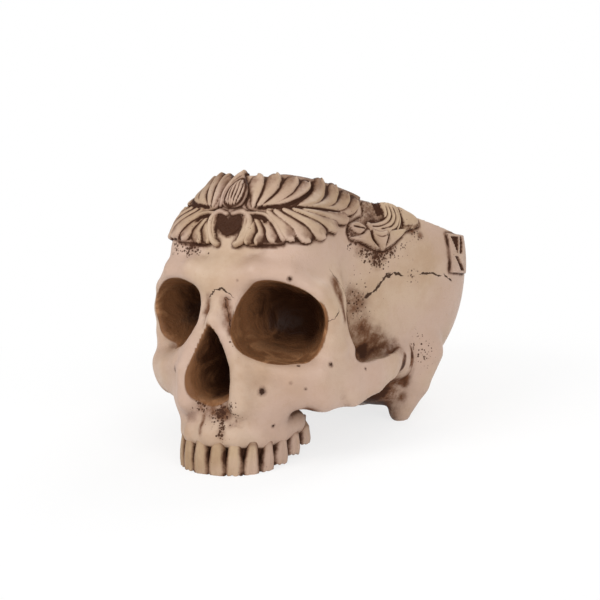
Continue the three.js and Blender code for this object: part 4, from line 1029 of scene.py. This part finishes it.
def bud():
    made = Carving(low=(-10, 0.68), high=(10, 0.91))
    made.plate(BUD, rise=1.6, width=1.4)
    body = made.plate(BUD_BODY, rise=3.3, width=3.0)
    made.finger(BUD_SEPAL, (1.1, 1.3), rise=2.9)
    upward = np.clip((made.height - BUD_LOW) / BUD_TALL, BUD_END, 1 - BUD_END)
    spread = BUD_TIP + (1 - BUD_TIP) * np.sin(np.pi * upward)
    ribs = 0.5 + 0.5 * np.cos(made.angle / spread * 2 * np.pi / (BUD_WIDTH / BUD_STRIATIONS))
    made.level -= np.where(body > BODY_EDGE, STRIATION_DEPTH * ribs ** 3, 0)
    stain = np.exp(-(body / BODY_STAIN) ** 2) + np.where(body > BODY_EDGE, STRIATION_DARK * ribs ** 4, 0)
    made.dark = np.maximum(made.dark, stain)
    return made


def rosette():
    made = Carving(low=(56, 0.51), high=(118, 0.81))
    made.plate(ROSETTE_GROUND, rise=1.0, width=1.2)
    ground = made.level > 0
    uneven = np.maximum(made.level + rough(made, GROUND_ROUGH), GROUND_LEAST)
    made.level = np.where(ground, uneven, made.level)
    pocket = smooth_step(made.within(ROSETTE_POCKET, smooth=False), *POCKET_EDGE)
    stain = np.where(ground, GROUND_DARK + rough(made, GROUND_UNEVEN), 0)
    made.dark = np.maximum(stain, POCKET_DARK * pocket)
    made.spared = np.where(ground, GROUND_SPARED * (1 - pocket), 0)
    before = made.level.copy()
    made.plate(ROSETTE_CUP, rise=3.2, width=2.2)
    for path in ROSETTE_FLUTES:
        made.groove(path, width=0.55, depth=1.2, dark=0.7)
    for outline, rise, width in ROSETTE_PETALS:
        made.plate(outline, rise, width)
    raised = made.level > before + PETAL_STEP
    made.dark = np.where(raised & (made.dark < PETAL_CLEAN), 0, made.dark)
    made.spared = np.where(raised, PETAL_SPARED, made.spared)
    for path in ROSETTE_FOLDS:
        made.groove(path, width=0.45, depth=0.5, dark=0.35)
    for path in ROSETTE_SEAMS:
        made.groove(path, width=0.4, depth=1.0, dark=0.8)
    return made


def plaque():
    made = Carving(low=(123, 0.43), high=(138.5, 0.68))
    made.plate(PLAQUE, rise=1.6, width=0.7, smooth=False)
    (left, low), (right, high) = PLAQUE[0], PLAQUE[2]
    for cut in PLAQUE_CUTS:
        outline = [(left + a * (right - left), low + b * (high - low)) for a, b in cut]
        deep = smooth_step(made.within(outline, smooth=False), *CUT_EDGE)
        made.level -= CUT_DEPTH * deep
        made.dark = np.maximum(made.dark, CUT_DARK * deep)
    return made


# Materials: one painted resin, differing in how pale, how warm and how washed it is.
RESINS = {
    "bone_resin": dict(pale=(0.505, 0.362, 0.254), warm=(0.43, 0.285, 0.182), wash=1.0),
    "jaw_resin": dict(pale=(0.49, 0.35, 0.255), warm=(0.42, 0.275, 0.18), wash=1.1),
    "cheek_resin": dict(pale=(0.505, 0.365, 0.262), warm=(0.43, 0.28, 0.185), wash=1.05),
    "tooth_resin": dict(pale=(0.44, 0.305, 0.188), warm=(0.33, 0.205, 0.11), wash=1.15),
    "crest_resin": dict(pale=(0.47, 0.33, 0.212), warm=(0.33, 0.205, 0.118), wash=1.2),
    "flower_resin": dict(pale=(0.48, 0.34, 0.228), warm=(0.34, 0.215, 0.13), wash=1.2),
}
ROSE = (0.49, 0.338, 0.268)
# The wash and stain colours also lay the painted shade of some spots under the cheeks and the base.
WASH_AND_SHADE_COLOUR = (0.05, 0.02, 0.011)
STAIN_AND_SHADE_COLOUR = (0.13, 0.052, 0.024)
SOCKET_BROWN = (0.19, 0.085, 0.037)
HOLE_COLOUR = (0.03, 0.012, 0.007)
SOCKET_LIGHT = (0.36, 0.18, 0.085)
# Deep in the sockets and at their tops, this dark is painted shade over the brown.
SOCKET_DARK = (0.04, 0.015, 0.007)

# Noises: scale per metre, detail, roughness, seed and twist.
WARM_NOISE = (30, 5, 0.6)
ROSY_NOISE = (22, 3, 0.5, 5)
SMALL_NOISE = (230, 6, 0.7, 3)
GRAIN_NOISE = (1000, 3, 0.6, 7)
WASH_NOISE = (140, 5, 0.7, 31)
WANDER_NOISE = (520, 4, 0.65, 11)
GAP_NOISE = (300, 2, 0.5, 17)
MARBLE_NOISE = (60, 5, 0.6, 23, 1.6)

# Ramps: from and to, then what they rise or fall between where that isn't 0 and 1.
WARM_PATCHES = (0.38, 0.62)
ROSY_PATCHES = (0.42, 0.64, 0, 0.75)
WARM_GRAIN = (0.5, 0.7, 0, 0.35)
WASH_UNEVEN = (0.32, 0.68, 0.6, 1.35)
SPOT_STAIN_AND_SHADE = (0.1, 0.95, 0, 0.93)
SPOT_DARK = (0.8, 1.3, 0, 0.9)
CLEFT_STAIN = (0.1, 0.6, 0, 0.7)
CLEFT_DARK = (0.45, 1.0, 0, 0.97)
DOT_EDGE = (-0.05, 0.08)
CRACK_WIDTHS = (0.35, 0.55, 0.3, 1.2)
CRACK_EDGE = (0.5, 1, 1, 0)
PIT_STAIN = (1.5, 2.4, 0.6, 0)
PIT_EDGE = (1.3, 1.75, 1, 0)
SOCKET_EDGE = (0.1, 0.6)
SOCKET_PATCHES = (0.5, 0.66)
SOCKET_SHADE_RAMP = (0.3, 0.95)
WASH_DULLNESS = (0.2, 0.9, 0, 0.9)

BROAD_SHARE = 0.2  # of the broad hollows in the wash
DOTS_PER_METRE, DOT_CHANCE, DOT_GAIN, DOT_LEAST = 760, 0.55, 0.75, 0.09
DOT_COVER, CRACK_COVER, PIT_COVER = 0.9, 0.92, 0.95
CRACK_WANDER = 3.2  # half widths
PIT_GRAIN, PIT_ROUGH = 0.8, 0.9  # how ragged a pit's edge is
SOCKET_UNEVEN = 1.8
ROUGHNESS, ROUGH_GRAIN, SOCKET_SMOOTHNESS = 0.38, 0.2, 0.14
SHEEN, SOCKET_DULLNESS = 0.45, 0.33
GRAIN_RELIEF, SOCKET_RELIEF, DOT_RELIEF = 0.3, 4.0, 0.7
BUMP = dict(Strength=0.45, Distance=0.001)


class Paint:
    """Short ways to add and join the nodes of a material or of the world."""

    def __init__(self, owner):
        owner.use_nodes = True
        self.owner, self.tree = owner, owner.node_tree
        self.tree.nodes.clear()

    def node(self, kind, inputs=(), output=0, **settings):
        """Adds a node, sets its inputs to constants or joins them, and gives back one of its outputs."""
        node = self.tree.nodes.new(f"ShaderNode{kind}")
        for name, setting in settings.items():
            setattr(node, name, setting)
        for name, value in dict(inputs).items():
            socket = node.inputs[name]
            if isinstance(value, bpy.types.NodeSocket):
                self.tree.links.new(value, socket)
            else:
                socket.default_value = (*value, 1) if socket.type == "RGBA" else value
        return node.outputs[output]

    def finish(self, kind, shader):
        end = self.tree.nodes.new(f"ShaderNodeOutput{kind}")
        self.tree.links.new(shader, end.inputs["Surface"])
        return self.owner

    @cached_property
    def place(self):
        return self.node("TexCoord", output="Object")

    def value(self, name):
        return self.node("Attribute", output="Fac", attribute_name=name)

    def noise(self, scale, detail, rough, seed=0, twist=0):
        given = dict(Vector=self.place, W=seed, Scale=scale, Detail=detail,
                     Roughness=rough, Distortion=twist)
        return self.node("TexNoise", given, "Fac", noise_dimensions="4D")

    def math(self, operation, a, b=0):
        return self.node("Math", {0: a, 1: b}, operation=operation)

    def plus(self, a, b):
        return self.math("ADD", a, b)

    def less(self, a, b):
        return self.math("SUBTRACT", a, b)

    def times(self, a, b):
        return self.math("MULTIPLY", a, b)

    def most(self, a, *others):
        for other in others:
            a = self.math("MAXIMUM", a, other)
        return a

    def about_zero(self, noise, reach):
        return self.times(self.less(noise, 0.5), reach)

    def ramp(self, value, low, high, start=0, end=1):
        names = ("Value", "From Min", "From Max", "To Min", "To Max")
        given = dict(zip(names, (value, low, high, start, end)))
        return self.node("MapRange", given, "Result", interpolation_type="SMOOTHSTEP")

    def mix(self, share, a, b):
        return self.node("Mix", {"Factor": share, 6: a, 7: b}, 2, data_type="RGBA")

    def cover(self, colour, value, ramp, top):
        """Lays a colour over another where a value's ramp rises."""
        return self.mix(self.ramp(value, *ramp), colour, top)

    def dots(self, scale, amount):
        """Round dots on a scattered grid, the more and the larger the greater the amount."""
        away = self.node("TexVoronoi", dict(Vector=self.place, Scale=scale), "Distance")
        chance = self.node("SeparateColor", dict(Color=away.node.outputs["Color"]))
        size = self.less(amount, self.times(chance, DOT_CHANCE))
        return self.ramp(self.less(size, away), *DOT_EDGE)


def bone_colour(paint, small, pale, warm):
    """Pale bone with warm and rosy patches and a warm grain."""
    colour = paint.cover(pale, paint.noise(*WARM_NOISE), WARM_PATCHES, warm)
    colour = paint.cover(colour, paint.noise(*ROSY_NOISE), ROSY_PATCHES, ROSE)
    return paint.cover(colour, small, WARM_GRAIN, warm)


def washed(paint, colour, wash):
    """The brown wash in spots and clefts, with painted shade in some of the spots, and where it lies."""
    uneven = paint.ramp(paint.noise(*WASH_NOISE), *WASH_UNEVEN)
    stain_and_shade = paint.times(paint.value("spot"), uneven)
    cleft = paint.plus(paint.value("fine"), paint.times(paint.value("broad"), BROAD_SHARE))
    cleft = paint.times(paint.times(cleft, uneven), wash)
    for value, ramp, top in ((stain_and_shade, SPOT_STAIN_AND_SHADE, STAIN_AND_SHADE_COLOUR), (stain_and_shade, SPOT_DARK, WASH_AND_SHADE_COLOUR),
                             (cleft, CLEFT_STAIN, STAIN_AND_SHADE_COLOUR), (cleft, CLEFT_DARK, WASH_AND_SHADE_COLOUR)):
        colour = paint.cover(colour, value, ramp, top)
    return colour, paint.most(cleft, stain_and_shade)


def dotted(paint, colour):
    amount = paint.plus(paint.times(paint.value("stipple"), DOT_GAIN), DOT_LEAST)
    dots = paint.dots(DOTS_PER_METRE, amount)
    return paint.mix(paint.times(dots, DOT_COVER), colour, WASH_AND_SHADE_COLOUR), dots


def cracked(paint, colour):
    """Dark sutures that wander and change in width."""
    wander = paint.about_zero(paint.noise(*WANDER_NOISE), CRACK_WANDER)
    away = paint.math("ABSOLUTE", paint.plus(paint.value("crack"), wander))
    away = paint.math("DIVIDE", away, paint.ramp(paint.noise(*GAP_NOISE), *CRACK_WIDTHS))
    line = paint.times(paint.ramp(away, *CRACK_EDGE), paint.value("crack_near"))
    return paint.mix(paint.times(line, CRACK_COVER), colour, HOLE_COLOUR), line


def pitted(paint, colour, small, grain):
    """Ragged dark holes in a brown ring."""
    ragged = paint.plus(paint.times(grain, PIT_GRAIN), paint.times(small, PIT_ROUGH))
    ragged = paint.plus(paint.value("pit"), ragged)
    hole = paint.ramp(ragged, *PIT_EDGE)
    colour = paint.cover(colour, ragged, PIT_STAIN, STAIN_AND_SHADE_COLOUR)
    return paint.mix(paint.times(hole, PIT_COVER), colour, HOLE_COLOUR), hole


def lined_sockets(paint, colour, lined, marbling):
    """The marbled brown of the eye sockets and the nose, with painted shade making it darker deep down and at
    the top.
    """
    dim = paint.plus(paint.value("dim"), paint.about_zero(marbling, SOCKET_UNEVEN))
    lining = paint.cover(SOCKET_BROWN, marbling, SOCKET_PATCHES, SOCKET_LIGHT)
    return paint.mix(lined, colour, paint.cover(lining, dim, SOCKET_SHADE_RAMP, SOCKET_DARK))


def resin(name, pale, warm, wash):
    """Bone-coloured paint, darkened in the clefts by a wash, and glossy dark down the sockets, where shade is
    painted deep in and at the top.
    """
    paint = Paint(bpy.data.materials.new(name))
    small, grain, marbling = (paint.noise(*noise) for noise in (SMALL_NOISE, GRAIN_NOISE, MARBLE_NOISE))
    lined = paint.ramp(paint.value("lined"), *SOCKET_EDGE)
    colour, dark = washed(paint, bone_colour(paint, small, pale, warm), wash)
    colour, dots = dotted(paint, colour)
    colour, line = cracked(paint, colour)
    colour, hole = pitted(paint, colour, small, grain)
    colour = lined_sockets(paint, colour, lined, marbling)
    matt = paint.plus(paint.times(small, ROUGH_GRAIN), ROUGHNESS)
    matt = paint.less(matt, paint.times(lined, SOCKET_SMOOTHNESS))
    sheen = paint.less(1, paint.ramp(paint.most(dark, hole, line, dots), *WASH_DULLNESS))
    sheen = paint.times(sheen, paint.less(SHEEN, paint.times(lined, SOCKET_DULLNESS)))
    raised = paint.plus(small, paint.times(grain, GRAIN_RELIEF))
    raised = paint.plus(raised, paint.times(paint.times(lined, marbling), SOCKET_RELIEF))
    sunk = paint.plus(paint.plus(paint.times(dots, DOT_RELIEF), line), hole)
    normal = paint.node("Bump", dict(Height=paint.less(raised, sunk), **BUMP))
    given = {"Base Color": colour, "Roughness": matt, "Specular IOR Level": sheen, "Normal": normal}
    return paint.finish("Material", paint.node("BsdfPrincipled", given))


# The carvings: what makes each, its side, the piece's name, the node that it replaces and its slot.
CARVINGS = [
    (large_leaf, 1, "left_leaf", "crest_left_large_leaf", "crest_resin"),
    (small_leaf, 1, "left_fan", "crest_left_small_leaf", "crest_resin"),
    (rosette, 1, "left_rosette", "left_temple_rosette", "crest_resin"),
    (large_leaf, -1, "right_leaf", "crest_right_large_leaf", "crest_resin"),
    (small_leaf, -1, "right_fan", "crest_right_small_leaf", "crest_resin"),
    (rosette, -1, "right_rosette", "right_temple_rosette", "crest_resin"),
    (flower, 1, "forehead_flower", "crest_flower", "flower_resin"),
    (bud, 1, "forehead_bud", "crest_bud", "flower_resin"),
    (plaque, 1, "rear_relief", "rear_plaque", "bone_resin"),
]


def build_object():
    materials = {slot: resin(slot, **look) for slot, look in RESINS.items()}
    outer, bone = bone_grid()
    for tooth in TEETH:
        for side in (1, -1):
            build_tooth(*tooth, side, materials["tooth_resin"])
    carved = []
    for make, side, name, node, slot in CARVINGS:
        carving = make()
        carving.piece(name, outer, side, materials[slot], [node], slot)
        carved.append((carving, side))
    build_bones(outer, bone, carved, materials)


# The stage, in metres unless said otherwise.
CAMERA_BEARING, CAMERA_HEIGHT, CAMERA_ROLL = 29.3, 0.5, 2.7  # degrees
CAMERA_DISTANCE = 700.0  # millimetres
CAMERA_AIM = (0, -0.2, 0.2)  # shares of FACE_WIDTH
CAMERA_SHIFT = (4.2, 6.4)  # right and up from the aim, in millimetres
PICTURE_SCALE = 1.89  # pixels per millimetre at the aim
PICTURE_SIDE = 600  # pixels
SENSOR_WIDTH = 36  # millimetres
CLIP = (0.01, 20)
WHITE = (1, 1, 1)
FLOOR_HALF = 3.0
FLOOR_COLOURS = (0.9, 0.895, 0.89), (0.92, 0.915, 0.91)
FLOOR_NOISE, FLOOR_ROUGHNESS = (3, 3, 0.5), 0.9
FLOOR_WHITE_FROM = (0.09, 0.3)  # from the middle
FLOOR_WHITE_SHARE = (0.76, 1.0)
LAMPS = [  # place, size, watts
    ((-0.55, -0.9, 0.9), 0.7, 8.3),
    ((0.9, -0.7, 0.6), 0.8, 5.8),
    ((0.2, 0.9, 1.0), 0.7, 5.0),
]
LAMP_AIM = (0, 0, 0.06)
ROOM_LIGHT = 0.55  # the light of the white room on the object, to its own brightness


def build_camera():
    bearing, height, roll = (math.radians(v) for v in (CAMERA_BEARING, CAMERA_HEIGHT, CAMERA_ROLL))
    flat = math.cos(height)
    back = Vector((math.sin(bearing) * flat, -math.cos(bearing) * flat, math.sin(height)))
    right = Vector((math.cos(bearing), math.sin(bearing), 0))
    up = back.cross(right)
    turned_right = math.cos(roll) * right + math.sin(roll) * up
    turned_up = -math.sin(roll) * right + math.cos(roll) * up
    aim = Vector(CAMERA_AIM) * FACE_WIDTH + CAMERA_SHIFT[0] * turned_right + CAMERA_SHIFT[1] * turned_up
    place = Matrix((turned_right, turned_up, back)).transposed().to_4x4()
    place.translation = aim + CAMERA_DISTANCE * back
    data = bpy.data.cameras.new("camera")
    data.sensor_width = SENSOR_WIDTH
    data.lens = SENSOR_WIDTH * PICTURE_SCALE * CAMERA_DISTANCE / PICTURE_SIDE
    data.clip_start, data.clip_end = CLIP
    camera = add_object("camera", data)
    placed = STAND @ place
    camera.matrix_world = Matrix.LocRotScale(placed.to_translation(), placed.to_quaternion(), None)
    bpy.context.scene.camera = camera


def white_to_camera(paint, shader, share):
    """Mixes a surface with plain white by a share where the camera sees it, straight or in a reflection."""
    seen = [paint.node("LightPath", output=ray) for ray in ("Is Camera Ray", "Is Glossy Ray")]
    white = paint.node("Emission", dict(Color=WHITE, Strength=1))
    return paint.node("MixShader", {"Fac": paint.times(paint.most(*seen), share), 1: shader, 2: white})


def build_floor():
    paint = Paint(bpy.data.materials.new("pale_floor"))
    colour = paint.mix(paint.noise(*FLOOR_NOISE), *FLOOR_COLOURS)
    surface = paint.node("BsdfPrincipled", {"Base Color": colour, "Roughness": FLOOR_ROUGHNESS})
    away = paint.node("VectorMath", {0: paint.place}, "Value", operation="LENGTH")
    share = paint.ramp(away, *FLOOR_WHITE_FROM, *FLOOR_WHITE_SHARE)
    mesh = bpy.data.meshes.new("floor")
    corners = [(x * FLOOR_HALF, y * FLOOR_HALF, 0) for x, y in ((-1, -1), (1, -1), (1, 1), (-1, 1))]
    mesh.from_pydata(corners, [], [(0, 1, 2, 3)])
    mesh.materials.append(paint.finish("Material", white_to_camera(paint, surface, share)))
    floor = add_object("floor", mesh)


def build_lights():
    for number, (place, size, power) in enumerate(LAMPS):
        data = bpy.data.lights.new(f"soft_light_{number}", "AREA")
        data.shape, data.size, data.energy = "DISK", size, power
        lamp = add_object(data.name, data)
        lamp.location = place
        lamp.rotation_mode = "QUATERNION"
        lamp.rotation_quaternion = (Vector(place) - Vector(LAMP_AIM)).to_track_quat("Z", "Y")
    world = bpy.data.worlds.new("pale_room")
    bpy.context.scene.world = world
    paint = Paint(world)
    given = {"Value": paint.node("LightPath", output="Is Camera Ray"), "To Min": ROOM_LIGHT, "To Max": 1}
    strength = paint.node("MapRange", given, "Result")
    paint.finish("World", paint.node("Background", dict(Color=WHITE, Strength=strength)))


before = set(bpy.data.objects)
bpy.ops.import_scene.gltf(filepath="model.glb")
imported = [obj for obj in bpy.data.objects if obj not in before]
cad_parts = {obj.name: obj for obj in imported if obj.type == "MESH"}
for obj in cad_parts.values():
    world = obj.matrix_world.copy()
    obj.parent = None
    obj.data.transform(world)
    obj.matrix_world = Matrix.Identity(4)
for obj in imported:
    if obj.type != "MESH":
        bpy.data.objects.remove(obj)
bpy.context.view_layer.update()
build_object()
build_floor()
build_lights()
build_camera()
bpy.context.scene.view_settings.view_transform = "Standard"
